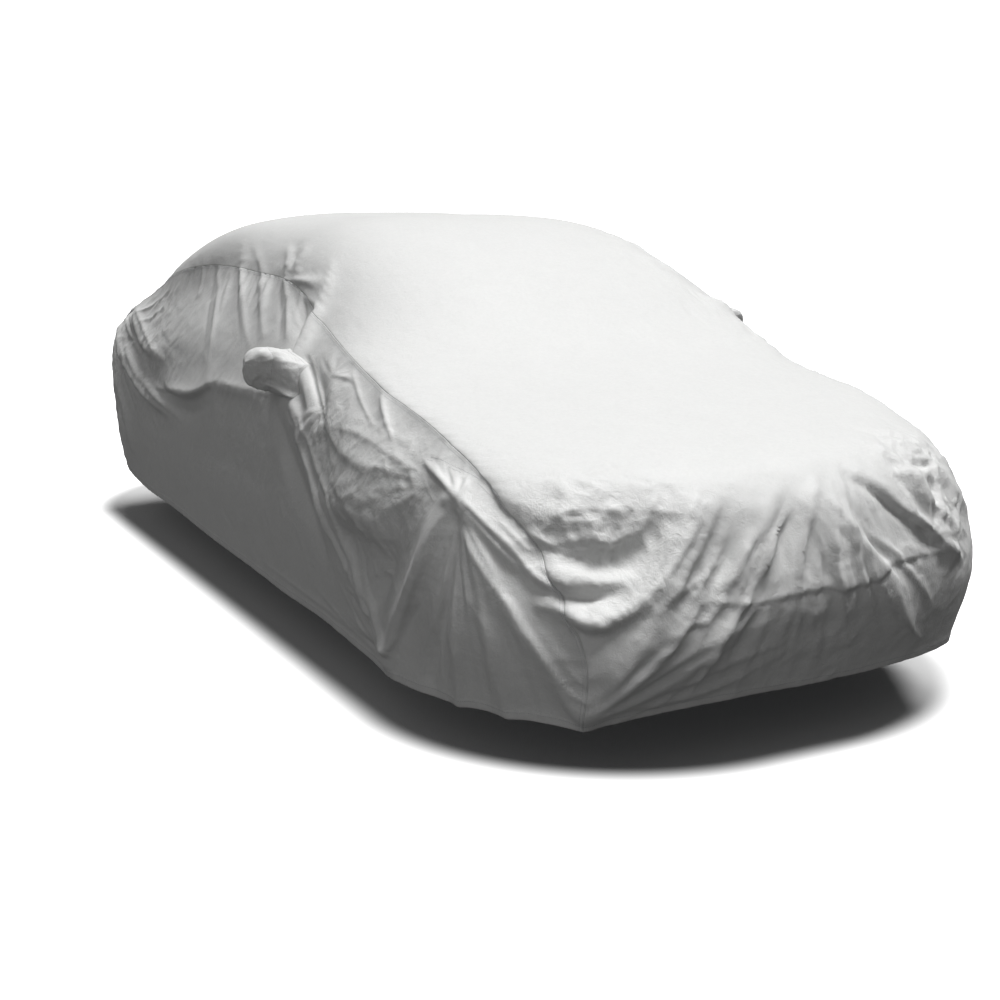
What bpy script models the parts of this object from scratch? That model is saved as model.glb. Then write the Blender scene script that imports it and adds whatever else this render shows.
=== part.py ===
"""Fitted car cover: a sewn cloth shell, hollow and open below.

The maker's pieces are one long top panel from the front hem over the crown to
the rear hem, a side panel on each flank, and a mirror pocket sewn into each
side panel. Each is a thin closed sheet in its own object.

All sizes are metres. -Y is the front end, +X the left side, +Z up. The tables
give heights above the ground, and the finished part is moved so that its
origin lies under the crown, where the cover is held up.
"""
import math
from collections import namedtuple

import bmesh
import bpy
import numpy as np

# ---------------------------------------------------------------- sizes
CLOTH = 0.0015           # thickness of every sheet
SEAM_GAP = 0.0005        # space left between two sewn pieces
SIDE_ROWS = 14           # cells from the seam down to the hem
SIDE_COLUMNS = 50        # cells along a side panel
ACROSS = 28              # cells across the top panel
END_CLOSENESS = 0.35     # how much closer the columns stand at the two ends
ORIGIN = (0.0, 0.50, 1.497)   # under the crown, where the cover is held up
INSIDE = (0.0, 0.10, 0.60)    # a point that every outer face looks away from
SHARP_ANGLE = 50.0            # degrees
COLLECTION = "car_cover"

# One row per cross-section of a flank, from the front corner to the rear
# corner. Points are (x, y, z) with x measured outwards, and the centre line
# is (y, z). The top between two seams is a rounded box: a boxiness of 2 is an
# ellipse, and more is flatter with quicker edges.
Section = namedtuple("Section", "place boxiness centre seam belt waist hem")
SECTIONS = (
    Section("front corner", 1.7, (-2.16, 0.79), (0.79, -1.84, 0.80), (0.80, -1.98, 0.69),
            (0.79, -2.10, 0.47), (0.70, -2.12, 0.22)),
    Section("front lip", 1.7, (-2.03, 0.85), (0.80, -1.70, 0.85), (0.86, -1.78, 0.74),
            (0.89, -1.88, 0.48), (0.83, -1.90, 0.22)),
    Section("front deck", 1.8, (-1.60, 0.94), (0.80, -1.40, 0.93), (0.89, -1.45, 0.80),
            (0.93, -1.50, 0.50), (0.93, -1.54, 0.20)),
    Section("deck middle", 1.9, (-1.25, 1.01), (0.79, -1.05, 0.99), (0.89, -1.08, 0.86),
            (0.93, -1.12, 0.52), (0.91, -1.14, 0.19)),
    Section("slope foot", 2.2, (-0.92, 1.10), (0.765, -0.72, 1.06), (0.88, -0.74, 0.92),
            (0.92, -0.76, 0.55), (0.90, -0.77, 0.20)),
    Section("front slope", 2.8, (-0.45, 1.33), (0.72, -0.35, 1.145), (0.87, -0.38, 0.95),
            (0.92, -0.38, 0.55), (0.90, -0.38, 0.20)),
    Section("crown front", 3.6, (0.00, 1.475), (0.68, 0.00, 1.245), (0.865, -0.02, 0.96),
            (0.92, -0.02, 0.55), (0.90, -0.02, 0.21)),
    Section("crown", 3.6, (0.50, 1.50), (0.66, 0.50, 1.275), (0.86, 0.50, 0.97),
            (0.92, 0.50, 0.55), (0.90, 0.50, 0.22)),
    Section("crown rear", 3.4, (1.12, 1.488), (0.665, 1.03, 1.275), (0.86, 1.05, 0.98),
            (0.92, 1.06, 0.56), (0.90, 1.06, 0.24)),
    Section("rear slope", 3.0, (1.62, 1.35), (0.725, 1.50, 1.20), (0.86, 1.53, 0.98),
            (0.92, 1.55, 0.57), (0.90, 1.56, 0.25)),
    Section("rear deck", 2.4, (2.00, 1.17), (0.785, 1.88, 1.075), (0.87, 1.93, 0.93),
            (0.90, 2.00, 0.58), (0.87, 2.00, 0.27)),
    Section("rear corner", 2.0, (2.36, 1.07), (0.79, 2.22, 0.97), (0.83, 2.30, 0.83),
            (0.82, 2.38, 0.56), (0.77, 2.32, 0.27)),
)
# The left flank hangs further back at its front corner and is lifted by its pocket.
LEFT_SECTIONS = (
    Section("front corner", 1.7, (-2.16, 0.79), (0.79, -1.72, 0.82), (0.81, -1.77, 0.70),
            (0.82, -1.83, 0.46), (0.69, -1.92, 0.22)),
    Section("front lip", 1.7, (-2.03, 0.85), (0.80, -1.60, 0.86), (0.86, -1.65, 0.75),
            (0.89, -1.68, 0.48), (0.84, -1.73, 0.21)),
) + SECTIONS[2:4] + (
    Section("slope foot", 2.2, (-0.92, 1.10), (0.79, -0.73, 1.11), (0.89, -0.74, 0.95),
            (0.92, -0.76, 0.55), (0.90, -0.77, 0.20)),
    Section("front slope", 3.2, (-0.45, 1.33), (0.76, -0.37, 1.24), (0.90, -0.38, 1.02),
            (0.92, -0.38, 0.55), (0.90, -0.38, 0.20)),
    Section("crown front", 3.6, (0.00, 1.475), (0.70, -0.02, 1.32), (0.88, -0.02, 1.00),
            (0.92, -0.02, 0.55), (0.90, -0.02, 0.21)),
) + SECTIONS[7:]
LEVELS = (0.0, 0.24, 0.60, 1.0)        # where seam, belt, waist and hem lie down a side

# Centre line of the two end faces, from the lip down to the hem: (y, z).
FRONT_FACE = ((-2.16, 0.79), (-2.27, 0.68), (-2.27, 0.49), (-2.13, 0.24))
REAR_FACE = ((2.36, 1.07), (2.46, 0.90), (2.50, 0.58), (2.40, 0.29))

# One row per fold. Rise is the height of the ridge, or a trough if negative;
# width is half its breadth; head and tail are its relative strength at the
# two ends of its path, which runs over points on the cloth.
Fold = namedtuple("Fold", "place rise width head tail path")
RIGHT_FLANK_FOLDS = (
    Fold("upper flank, rearmost", 0.016, 0.045, 0.5, 0.2,
         ((-0.67, 1.00, 1.27), (-0.84, 0.60, 1.01), (-0.89, 0.52, 0.90))),
    Fold("upper flank, second", 0.018, 0.045, 0.5, 0.2,
         ((-0.66, 0.74, 1.28), (-0.77, 0.39, 1.12), (-0.83, 0.19, 1.03))),
    Fold("upper flank, third", 0.016, 0.040, 0.5, 0.2, ((-0.67, 0.46, 1.27), (-0.81, 0.03, 1.06))),
    Fold("upper flank, foremost", 0.018, 0.040, 0.5, 0.3,
         ((-0.68, 0.12, 1.26), (-0.79, -0.21, 1.07))),
    Fold("hollow behind the slope edge", -0.022, 0.045, 0.4, 0.6,
         ((-0.70, -0.02, 1.21), (-0.78, -0.32, 1.08))),
    Fold("slope edge", 0.020, 0.045, 0.4, 0.6,
         ((-0.67, -0.26, 1.29), (-0.71, -0.27, 1.16), (-0.79, -0.32, 1.06))),
    Fold("rear quarter, upper swag", 0.035, 0.060, 0.6, 0.2,
         ((-0.81, 1.87, 1.04), (-0.88, 1.47, 0.92), (-0.89, 1.15, 0.88))),
    Fold("rear quarter, middle swag", 0.035, 0.045, 0.2, 0.4,
         ((-0.91, 1.04, 0.79), (-0.91, 0.74, 0.78), (-0.90, 0.53, 0.82), (-0.90, 0.39, 0.86))),
    Fold("under the middle swag", -0.022, 0.050, 0.2, 0.3,
         ((-0.91, 1.02, 0.70), (-0.91, 0.72, 0.70), (-0.90, 0.46, 0.77))),
    Fold("rear quarter, long swag", 0.035, 0.055, 0.7, 0.1,
         ((-0.87, 1.92, 0.95), (-0.90, 1.75, 0.84), (-0.91, 1.47, 0.75), (-0.92, 0.95, 0.66))),
    Fold("above the long swag", -0.020, 0.050, 0.5, 0.1,
         ((-0.87, 1.70, 0.94), (-0.90, 1.45, 0.83), (-0.91, 1.15, 0.77))),
    Fold("rear corner", 0.030, 0.060, 0.5, 0.3,
         ((-0.84, 2.12, 0.96), (-0.90, 1.95, 0.76), (-0.91, 1.78, 0.62), (-0.91, 1.72, 0.42))),
    Fold("belt line", 0.018, 0.045, 0.6, 0.5, ((-0.90, 0.39, 0.86), (-0.89, -0.15, 0.87))),
    Fold("pocket to hem", 0.038, 0.055, 0.6, 0.5,
         ((-0.89, -0.48, 0.89), (-0.92, -0.80, 0.68), (-0.93, -1.06, 0.50), (-0.93, -1.39, 0.26))),
    Fold("behind the pocket's fold", -0.020, 0.060, 0.4, 0.2,
         ((-0.90, -0.34, 0.84), (-0.92, -0.62, 0.64), (-0.93, -0.92, 0.42))),
    Fold("ahead of the pocket", -0.024, 0.040, 0.5, 0.3,
         ((-0.81, -0.44, 1.03), (-0.88, -0.75, 0.91), (-0.90, -0.83, 0.82))),
    Fold("shoulder", 0.026, 0.045, 0.5, 0.4,
         ((-0.90, -0.81, 0.85), (-0.88, -1.14, 0.87), (-0.86, -1.50, 0.84))),
    Fold("under the shoulder", -0.024, 0.050, 0.3, 0.3,
         ((-0.92, -0.86, 0.74), (-0.92, -1.08, 0.68), (-0.91, -1.30, 0.76))),
    Fold("deck edge", 0.014, 0.045, 0.5, 0.2, ((-0.80, -1.06, 0.98), (-0.86, -1.25, 0.89))),
    Fold("front, tall ridge", 0.044, 0.055, 0.5, 0.6,
         ((-0.88, -1.69, 0.75), (-0.92, -1.63, 0.59), (-0.94, -1.52, 0.40), (-0.93, -1.40, 0.24))),
    Fold("behind the tall ridge", -0.026, 0.055, 0.3, 0.4,
         ((-0.91, -1.46, 0.68), (-0.93, -1.38, 0.50), (-0.93, -1.28, 0.36))),
    Fold("ahead of the tall ridge", -0.026, 0.045, 0.4, 0.5,
         ((-0.89, -1.77, 0.70), (-0.92, -1.74, 0.50), (-0.92, -1.66, 0.26))),
    Fold("hem fan, rear", 0.020, 0.035, 0.3, 0.8,
         ((-0.90, -1.80, 0.62), (-0.91, -1.81, 0.42), (-0.88, -1.77, 0.22))),
    Fold("hem fan, front", 0.022, 0.040, 0.4, 0.8,
         ((-0.87, -1.82, 0.68), (-0.87, -1.92, 0.44), (-0.82, -1.94, 0.23))),
    Fold("corner pucker", 0.020, 0.040, 0.6, 0.3,
         ((-0.87, -1.71, 0.78), (-0.86, -1.60, 0.84), (-0.80, -1.56, 0.90))),
)
FRONT_FOLDS = (
    Fold("corner, great diagonal", 0.040, 0.045, 0.6, 0.4,
         ((-0.86, -1.73, 0.77), (-0.85, -1.84, 0.73), (-0.81, -2.01, 0.64), (-0.76, -2.09, 0.60))),
    Fold("corner, upper band", 0.024, 0.045, 0.4, 0.4,
         ((-0.76, -2.03, 0.67), (-0.68, -2.11, 0.65), (-0.58, -2.14, 0.66))),
    Fold("corner, dark hollow", -0.036, 0.045, 0.4, 0.5,
         ((-0.77, -2.10, 0.58), (-0.69, -2.14, 0.58), (-0.60, -2.16, 0.60))),
    Fold("corner, swag", 0.034, 0.040, 0.6, 0.5,
         ((-0.79, -2.08, 0.56), (-0.70, -2.16, 0.51), (-0.61, -2.18, 0.54), (-0.44, -2.15, 0.72),
          (-0.36, -2.09, 0.80))),
    Fold("fan to the corner, left", 0.024, 0.046, 0.4, 1.0,
         ((-0.87, -1.79, 0.70), (-0.85, -1.96, 0.56), (-0.79, -2.08, 0.42), (-0.71, -2.13, 0.26))),
    Fold("fan to the corner, first", 0.028, 0.046, 0.4, 0.9,
         ((-0.31, -2.10, 0.80), (-0.46, -2.19, 0.66), (-0.57, -2.20, 0.50), (-0.67, -2.15, 0.34))),
    Fold("between the fan folds", -0.018, 0.042, 0.3, 0.6,
         ((-0.32, -2.17, 0.73), (-0.45, -2.22, 0.61), (-0.56, -2.20, 0.47))),
    Fold("fan to the corner, second", 0.024, 0.045, 0.3, 0.9,
         ((-0.30, -2.25, 0.66), (-0.46, -2.23, 0.52), (-0.60, -2.19, 0.38), (-0.69, -2.13, 0.29))),
    Fold("fan to the corner, lowest", 0.024, 0.045, 0.4, 0.9,
         ((-0.28, -2.25, 0.52), (-0.45, -2.22, 0.39), (-0.68, -2.13, 0.27))),
    Fold("nose, first", 0.020, 0.045, 0.5, 0.3,
         ((-0.17, -2.15, 0.78), (-0.24, -2.26, 0.66), (-0.30, -2.26, 0.54))),
    Fold("nose, second", 0.018, 0.045, 0.5, 0.3, ((-0.12, -2.19, 0.77), (-0.16, -2.27, 0.57))),
    Fold("nose, third", 0.020, 0.045, 0.5, 0.3,
         ((-0.07, -2.19, 0.77), (-0.03, -2.27, 0.65), (0.00, -2.27, 0.55))),
    Fold("nose, long", 0.024, 0.046, 0.5, 0.3,
         ((-0.01, -2.17, 0.79), (0.10, -2.26, 0.62), (0.24, -2.23, 0.46), (0.41, -2.11, 0.30))),
    Fold("nose, fourth", 0.028, 0.046, 0.4, 0.4,
         ((0.20, -2.10, 0.81), (0.27, -2.17, 0.73), (0.40, -2.17, 0.64), (0.56, -2.10, 0.54))),
    Fold("nose, fifth", 0.024, 0.040, 0.4, 0.4,
         ((0.38, -1.96, 0.85), (0.42, -2.09, 0.74), (0.56, -2.08, 0.62))),
    Fold("left corner", 0.024, 0.045, 0.4, 0.5,
         ((0.56, -1.84, 0.86), (0.62, -1.95, 0.76), (0.72, -1.95, 0.66), (0.82, -1.84, 0.58))),
    Fold("turned under", -0.022, 0.060, 0.2, 0.2,
         ((-0.36, -2.24, 0.44), (0.00, -2.24, 0.44), (0.30, -2.19, 0.45), (0.60, -2.04, 0.46))),
)
LEFT_FLANK_FOLDS = (
    Fold("left upper flank, rear", 0.018, 0.045, 0.5, 0.2,
         ((0.67, 0.85, 1.27), (0.82, 0.50, 1.05))),
    Fold("left upper flank, front", 0.018, 0.045, 0.5, 0.2,
         ((0.68, 0.35, 1.27), (0.82, 0.02, 1.08))),
    Fold("left rear quarter", 0.034, 0.060, 0.6, 0.2,
         ((0.87, 1.92, 0.92), (0.91, 1.50, 0.76), (0.92, 0.90, 0.70))),
    Fold("left pocket to hem", 0.034, 0.055, 0.6, 0.5,
         ((0.89, -0.46, 0.92), (0.92, -0.74, 0.66), (0.93, -1.24, 0.24))),
    Fold("left pocket to tail", 0.024, 0.055, 0.6, 0.2,
         ((0.90, -0.20, 0.90), (0.92, 0.15, 0.74), (0.92, 0.50, 0.62))),
    Fold("left shoulder", 0.024, 0.050, 0.4, 0.4, ((0.90, -0.90, 0.86), (0.88, -1.40, 0.84))),
    Fold("left front, tall ridge", 0.036, 0.055, 0.5, 0.6,
         ((0.88, -1.58, 0.72), (0.92, -1.50, 0.50), (0.92, -1.42, 0.24))),
    Fold("left hem fan", 0.022, 0.045, 0.4, 0.8, ((0.86, -1.66, 0.62), (0.84, -1.74, 0.24))),
)
REAR_FOLDS = (
    Fold("tail, right diagonal", 0.026, 0.055, 0.6, 0.3,
         ((-0.76, 2.28, 0.94), (-0.50, 2.44, 0.74), (-0.20, 2.50, 0.60))),
    Fold("tail, left diagonal", 0.026, 0.055, 0.6, 0.3,
         ((0.76, 2.28, 0.94), (0.52, 2.44, 0.70), (0.28, 2.50, 0.50))),
    Fold("tail, right hem", 0.022, 0.050, 0.3, 0.8, ((-0.52, 2.44, 0.62), (-0.70, 2.36, 0.30))),
    Fold("tail, left hem", 0.022, 0.050, 0.3, 0.8, ((0.46, 2.46, 0.58), (0.68, 2.36, 0.30))),
)
FOLDS = RIGHT_FLANK_FOLDS + FRONT_FOLDS + LEFT_FLANK_FOLDS + REAR_FOLDS
PATH_STEPS = 24          # straight runs that a fold's path is measured along
FOLD_DEPTH = 0.20        # a path may lie this far under or over the cloth

# One row per ring of a mirror pocket, from its root to its tip: reach is the
# distance out from the flank, roundness runs from 0 for the outline of the hole
# that it fills to 1 for a rounded box, and depth and height are the box's half
# sizes along and above the ground.
Ring = namedtuple("Ring", "reach roundness depth height")
POCKET_RINGS = (
    Ring(0.018, 0.10, 0.070, 0.070),
    Ring(0.045, 0.45, 0.070, 0.072),
    Ring(0.080, 0.85, 0.068, 0.073),
    Ring(0.115, 1.00, 0.064, 0.070),
    Ring(0.145, 1.00, 0.054, 0.058),
    Ring(0.164, 1.00, 0.032, 0.036),
)
POCKET_BOXINESS = 2.8
POCKET_COLUMNS = (19, 21)        # the cells of the side panel cut out for a pocket
POCKET_ROWS = (2, 4)

CLOTH_COLOUR = (0.60, 0.61, 0.63, 1.0)
CLOTH_ROUGHNESS = 0.55
CLOTH_METALLIC = 0.15


# ---------------------------------------------------------------- curves
def smooth_through(points, knots, where):
    """Return the smooth curve through points, which lie at knots, read at where."""
    points = np.asarray(points, float)
    knots = np.asarray(knots, float)
    where = np.asarray(where, float)
    steps = np.diff(knots)
    secants = np.diff(points, axis=0) / steps[:, None]
    slopes = np.empty_like(points)
    slopes[0] = secants[0]
    slopes[-1] = secants[-1]
    before = steps[:-1, None]
    after = steps[1:, None]
    slopes[1:-1] = (secants[:-1] * after + secants[1:] * before) / (before + after)
    cell = np.clip(np.searchsorted(knots, where, side="right") - 1, 0, len(steps) - 1)
    width = steps[cell][:, None]
    t = (where - knots[cell])[:, None] / width
    return (points[cell] * (1 + 2 * t) * (1 - t) ** 2
            + slopes[cell] * width * t * (1 - t) ** 2
            + points[cell + 1] * t ** 2 * (3 - 2 * t)
            + slopes[cell + 1] * width * t ** 2 * (t - 1))


def chord_knots(points):
    """Return knots from 0 to 1 spaced as the points are."""
    lengths = np.linalg.norm(np.diff(np.asarray(points, float), axis=0), axis=1)
    travelled = np.concatenate([[0.0], np.cumsum(lengths)])
    return travelled / travelled[-1]


# ---------------------------------------------------------------- base form
def column_stations(count):
    """Return count + 1 places from 0 to 1, closer together near both ends."""
    even = np.linspace(0.0, 1.0, count + 1)
    return even - END_CLOSENESS * np.sin(2 * math.pi * even) / (2 * math.pi)


def section_lines(sections, stations):
    """Return the seam, belt, waist, hem and centre lines read at the stations."""
    knots = chord_knots([section.seam for section in SECTIONS])
    lines = {}
    for name in ("seam", "belt", "waist", "hem"):
        points = [getattr(section, name) for section in sections]
        lines[name] = smooth_through(points, knots, stations)
    centres = [(0.0, *section.centre) for section in sections]
    lines["centre"] = smooth_through(centres, knots, stations)
    boxiness = [(section.boxiness,) for section in sections]
    lines["boxiness"] = smooth_through(boxiness, knots, stations)[:, 0]
    return lines


def side_surface(sections, side, columns, rows):
    """Return a flank's points as an array [row, column], from seam to hem."""
    lines = section_lines(sections, column_stations(columns))
    levels = np.linspace(0.0, 1.0, rows + 1)
    surface = np.empty((rows + 1, columns + 1, 3))
    for column in range(columns + 1):
        profile = [lines[name][column] for name in ("seam", "belt", "waist", "hem")]
        surface[:, column] = smooth_through(profile, LEVELS, levels)
    surface[..., 0] *= side
    return surface


def cross_rows(right, left, centres, boxiness, across):
    """Return rows of points from the right edge over the centre to the left."""
    turns = np.linspace(-math.pi / 2, math.pi / 2, across + 1)
    rows = np.empty((len(centres), across + 1, 3))
    for index, turn in enumerate(turns):
        edge = right if turn < 0 else left
        outwards = abs(math.sin(turn)) ** (2 / boxiness)
        fullness = abs(math.cos(turn)) ** (2 / boxiness)
        rows[:, index] = edge + (centres - edge) * fullness[:, None]
        rows[:, index, 0] = edge[:, 0] * outwards
    return rows


def top_surface(right_side, left_side, columns, rows, across):
    """Return the top panel's points [row, cell], from the front to the rear hem."""
    levels = np.linspace(0.0, 1.0, rows + 1)
    lines = section_lines(SECTIONS, column_stations(columns))
    faces = []
    for profile, column in ((FRONT_FACE, 0), (REAR_FACE, -1)):
        spine = [(0.0, *point) for point in profile]
        spine = smooth_through(spine, LEVELS, levels)
        boxiness = np.full(rows + 1, lines["boxiness"][column])
        faces.append(cross_rows(right_side[:, column], left_side[:, column], spine,
                                boxiness, across))
    deck = cross_rows(right_side[0], left_side[0], lines["centre"], lines["boxiness"], across)
    return np.concatenate([faces[0][:0:-1], deck, faces[1][1:]])


# ---------------------------------------------------------------- folds
def unit(vectors):
    """Return vectors scaled to length one."""
    return vectors / np.maximum(np.linalg.norm(vectors, axis=-1, keepdims=True), 1e-12)


def grid_normals(surface):
    """Return the outward normals of a grid of points."""
    normals = unit(np.cross(np.gradient(surface, axis=0), np.gradient(surface, axis=1)))
    return normals * np.sign(np.sum(normals * (surface - INSIDE)))


def seam_border(grid):
    """Return a side panel's border along the seam, from the front hem to the rear."""
    return np.concatenate([grid[:0:-1, 0], grid[0], grid[1:, -1]])


def shared_normals(top, sides):
    """Return the normals of the top and the two sides, which agree at the seams."""
    top_normals = grid_normals(top)
    side_normals = [grid_normals(side) for side in sides]
    for normals, edge in zip(side_normals, (0, -1)):
        down = len(normals) - 1
        seam = unit(seam_border(normals) + top_normals[:, edge])
        top_normals[:, edge] = seam
        normals[:0:-1, 0] = seam[:down]
        normals[0] = seam[down:-down]
        normals[1:, -1] = seam[-down:]
    return [top_normals, *side_normals]


def distance_along(points, normals, path):
    """Return each point's distance from a path, and how far along it that is.

    Depth through the cloth doesn't count until it passes FOLD_DEPTH, so that
    a fold acts on its own flank alone.
    """
    knots = np.linspace(0.0, 1.0, PATH_STEPS + 1)
    path = smooth_through(path, chord_knots(path), knots)
    nearest = np.full(len(points), np.inf)
    travelled = np.zeros(len(points))
    for index, (start, end) in enumerate(zip(path[:-1], path[1:])):
        run = end - start
        offset = points - start
        share = np.clip(offset @ run / (run @ run), 0.0, 1.0)
        offset -= share[:, None] * run
        depth = np.abs(np.sum(offset * normals, axis=1))
        beside = np.sqrt(np.maximum(np.sum(offset ** 2, axis=1) - depth ** 2, 0.0))
        distance = beside + np.maximum(depth - FOLD_DEPTH, 0.0)
        closer = distance < nearest
        nearest[closer] = distance[closer]
        travelled[closer] = knots[index] + share[closer] / PATH_STEPS
    return nearest, travelled


def fold_relief(points, normals):
    """Return how far the folds raise each point along its normal."""
    relief = np.zeros(len(points))
    for fold in FOLDS:
        distance, travelled = distance_along(points, normals, fold.path)
        end_strength = np.where(travelled < 0.5, fold.head, fold.tail)
        strength = 1 - (1 - end_strength) * (2 * travelled - 1) ** 2
        relief += fold.rise * strength * np.exp(-(distance / fold.width) ** 2)
    return relief


def grid_relief(surface, normals):
    """Return the folds' relief at each point of a grid."""
    relief = fold_relief(surface.reshape(-1, 3), normals.reshape(-1, 3))
    return relief.reshape(surface.shape[:2])


# ---------------------------------------------------------------- meshes
def finish_object(name, points, faces, material):
    """Make an object of a closed mesh, with its faces pointing out."""
    mesh = bpy.data.meshes.new(name)
    mesh.from_pydata((np.asarray(points) - ORIGIN).tolist(), [], faces)
    shape = bmesh.new()
    shape.from_mesh(mesh)
    loose = [vertex for vertex in shape.verts if not vertex.link_faces]
    bmesh.ops.delete(shape, geom=loose, context="VERTS")
    bmesh.ops.recalc_face_normals(shape, faces=shape.faces)
    shape.to_mesh(mesh)
    shape.free()
    mesh.shade_smooth()
    mesh.set_sharp_from_angle(angle=math.radians(SHARP_ANGLE))
    mesh.materials.append(material)
    result = bpy.data.objects.new(name, mesh)
    bpy.data.collections[COLLECTION].objects.link(result)
    return result


def split_cell(corners, heights):
    """Cut a cell in two along the diagonal that is more level, as a fold runs."""
    first, second, third, fourth = corners
    if abs(heights[first] - heights[third]) <= abs(heights[second] - heights[fourth]):
        return (first, second, third), (first, third, fourth)
    return (second, third, fourth), (second, fourth, first)


def sheet_faces(relief, hole):
    """Return the faces of a closed sheet, whose inner points follow the outer ones.

    Args:
        relief: the height of the folds at each point of the grid.
        hole: the cells left out, as (first row, end row, first column, end column).
    """
    rows, cells = relief.shape
    heights = relief.ravel()
    inner = rows * cells
    first_row, end_row, first_cell, end_cell = hole
    faces = []
    rims = set()
    for row in range(rows - 1):
        for cell in range(cells - 1):
            if first_row <= row < end_row and first_cell <= cell < end_cell:
                continue
            start = row * cells + cell
            corners = (start, start + cells, start + cells + 1, start + 1)
            for triangle in split_cell(corners, heights):
                faces.append(triangle)
                faces.append(tuple(corner + inner for corner in reversed(triangle)))
            for edge in zip(corners, corners[1:] + corners[:1]):
                if edge[::-1] in rims:
                    rims.remove(edge[::-1])
                else:
                    rims.add(edge)
    for start, end in sorted(rims):
        faces.append((end, start, start + inner, end + inner))
    return faces


def draw_back(outer, edges):
    """Move the sewn edges of a sheet back by half the seam gap.

    Args:
        outer: the grid of outer points, changed in place.
        edges: pairs of grid indexes, an edge and the row of points beside it.
    """
    for edge, beside in edges:
        outer[edge] += unit(outer[beside] - outer[edge]) * SEAM_GAP / 2


def build_sheet(name, outer, normals, relief, edges, hole, material):
    """Make one panel: a closed sheet under a grid of outer points."""
    draw_back(outer, edges)
    inner = outer - normals * CLOTH
    points = np.concatenate([outer.reshape(-1, 3), inner.reshape(-1, 3)])
    return finish_object(name, points, sheet_faces(relief, hole), material)


def hole_border(surface):
    """Return points round the pocket's hole in a side panel, two for each cell."""
    top, bottom = POCKET_ROWS
    front, rear = POCKET_COLUMNS
    down = [(row, front) for row in range(top, bottom)]
    along = [(bottom, cell) for cell in range(front, rear)]
    up = [(row, rear) for row in range(bottom, top, -1)]
    back = [(top, cell) for cell in range(rear, front, -1)]
    corners = np.array([surface[place] for place in down + along + up + back])
    middles = (corners + np.roll(corners, -1, axis=0)) / 2
    return np.stack([corners, middles], axis=1).reshape(-1, 3)


def drawn_in(outline, inset):
    """Return an outline's spokes from its centre, drawn in by at least the inset."""
    spokes = outline - outline.mean(axis=0)
    narrowest = min(np.ptp(spokes[:, 1]), np.ptp(spokes[:, 2])) / 2
    return spokes * (1 - inset / narrowest)


def pocket_rings(hole, hole_inside, inset):
    """Return the rings of points of a mirror pocket, root first.

    Args:
        hole: the points round the hole that the pocket is sewn into.
        hole_inside: the same points on the inner face of the side panel.
        inset: how far inside the pocket's true outside the rings lie.
    """
    centre = hole.mean(axis=0)
    outwards = np.array([np.sign(centre[0]), 0.0, 0.0])
    spokes = drawn_in(hole, inset + SEAM_GAP)
    angles = np.arctan2(spokes[:, 2], spokes[:, 1])
    across = np.sign(np.cos(angles)) * np.abs(np.cos(angles)) ** (2 / POCKET_BOXINESS)
    upwards = np.sign(np.sin(angles)) * np.abs(np.sin(angles)) ** (2 / POCKET_BOXINESS)
    rings = [hole_inside.mean(axis=0) + drawn_in(hole_inside, inset + SEAM_GAP), centre + spokes]
    for ring in POCKET_RINGS:
        box = np.stack([np.zeros_like(angles), across * (ring.depth - inset),
                        upwards * (ring.height - inset)], axis=1)
        outline = spokes + (box - spokes) * ring.roundness
        rings.append(centre + outwards * (ring.reach - inset) + outline)
    return rings


def build_pocket(name, hole, hole_inside, material):
    """Make one mirror pocket: a cup whose open root fills the hole."""
    around = len(hole)
    outer = pocket_rings(hole, hole_inside, 0.0)
    inner = pocket_rings(hole, hole_inside, CLOTH)
    layers = inner[::-1] + outer
    faces = []
    for layer in range(len(layers) - 1):
        for step in range(around):
            following = (step + 1) % around
            faces.append((layer * around + step, layer * around + following,
                          (layer + 1) * around + following, (layer + 1) * around + step))
    last = (len(layers) - 1) * around
    faces.append(tuple(range(around)))
    faces.append(tuple(range(last, last + around)))
    return finish_object(name, np.concatenate(layers), faces, material)


def cloth_material(name):
    """Make one piece's plain silver cloth material."""
    material = bpy.data.materials.new(name)
    material.use_nodes = True
    shader = material.node_tree.nodes["Principled BSDF"]
    shader.inputs["Base Color"].default_value = CLOTH_COLOUR
    shader.inputs["Roughness"].default_value = CLOTH_ROUGHNESS
    shader.inputs["Metallic"].default_value = CLOTH_METALLIC
    material.diffuse_color = CLOTH_COLOUR
    return material


# ---------------------------------------------------------------- assembly
def clear_scene():
    """Remove every object and make the cover's own collection."""
    for thing in list(bpy.data.objects):
        bpy.data.objects.remove(thing, do_unlink=True)
    collection = bpy.data.collections.new(COLLECTION)
    bpy.context.scene.collection.children.link(collection)


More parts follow.
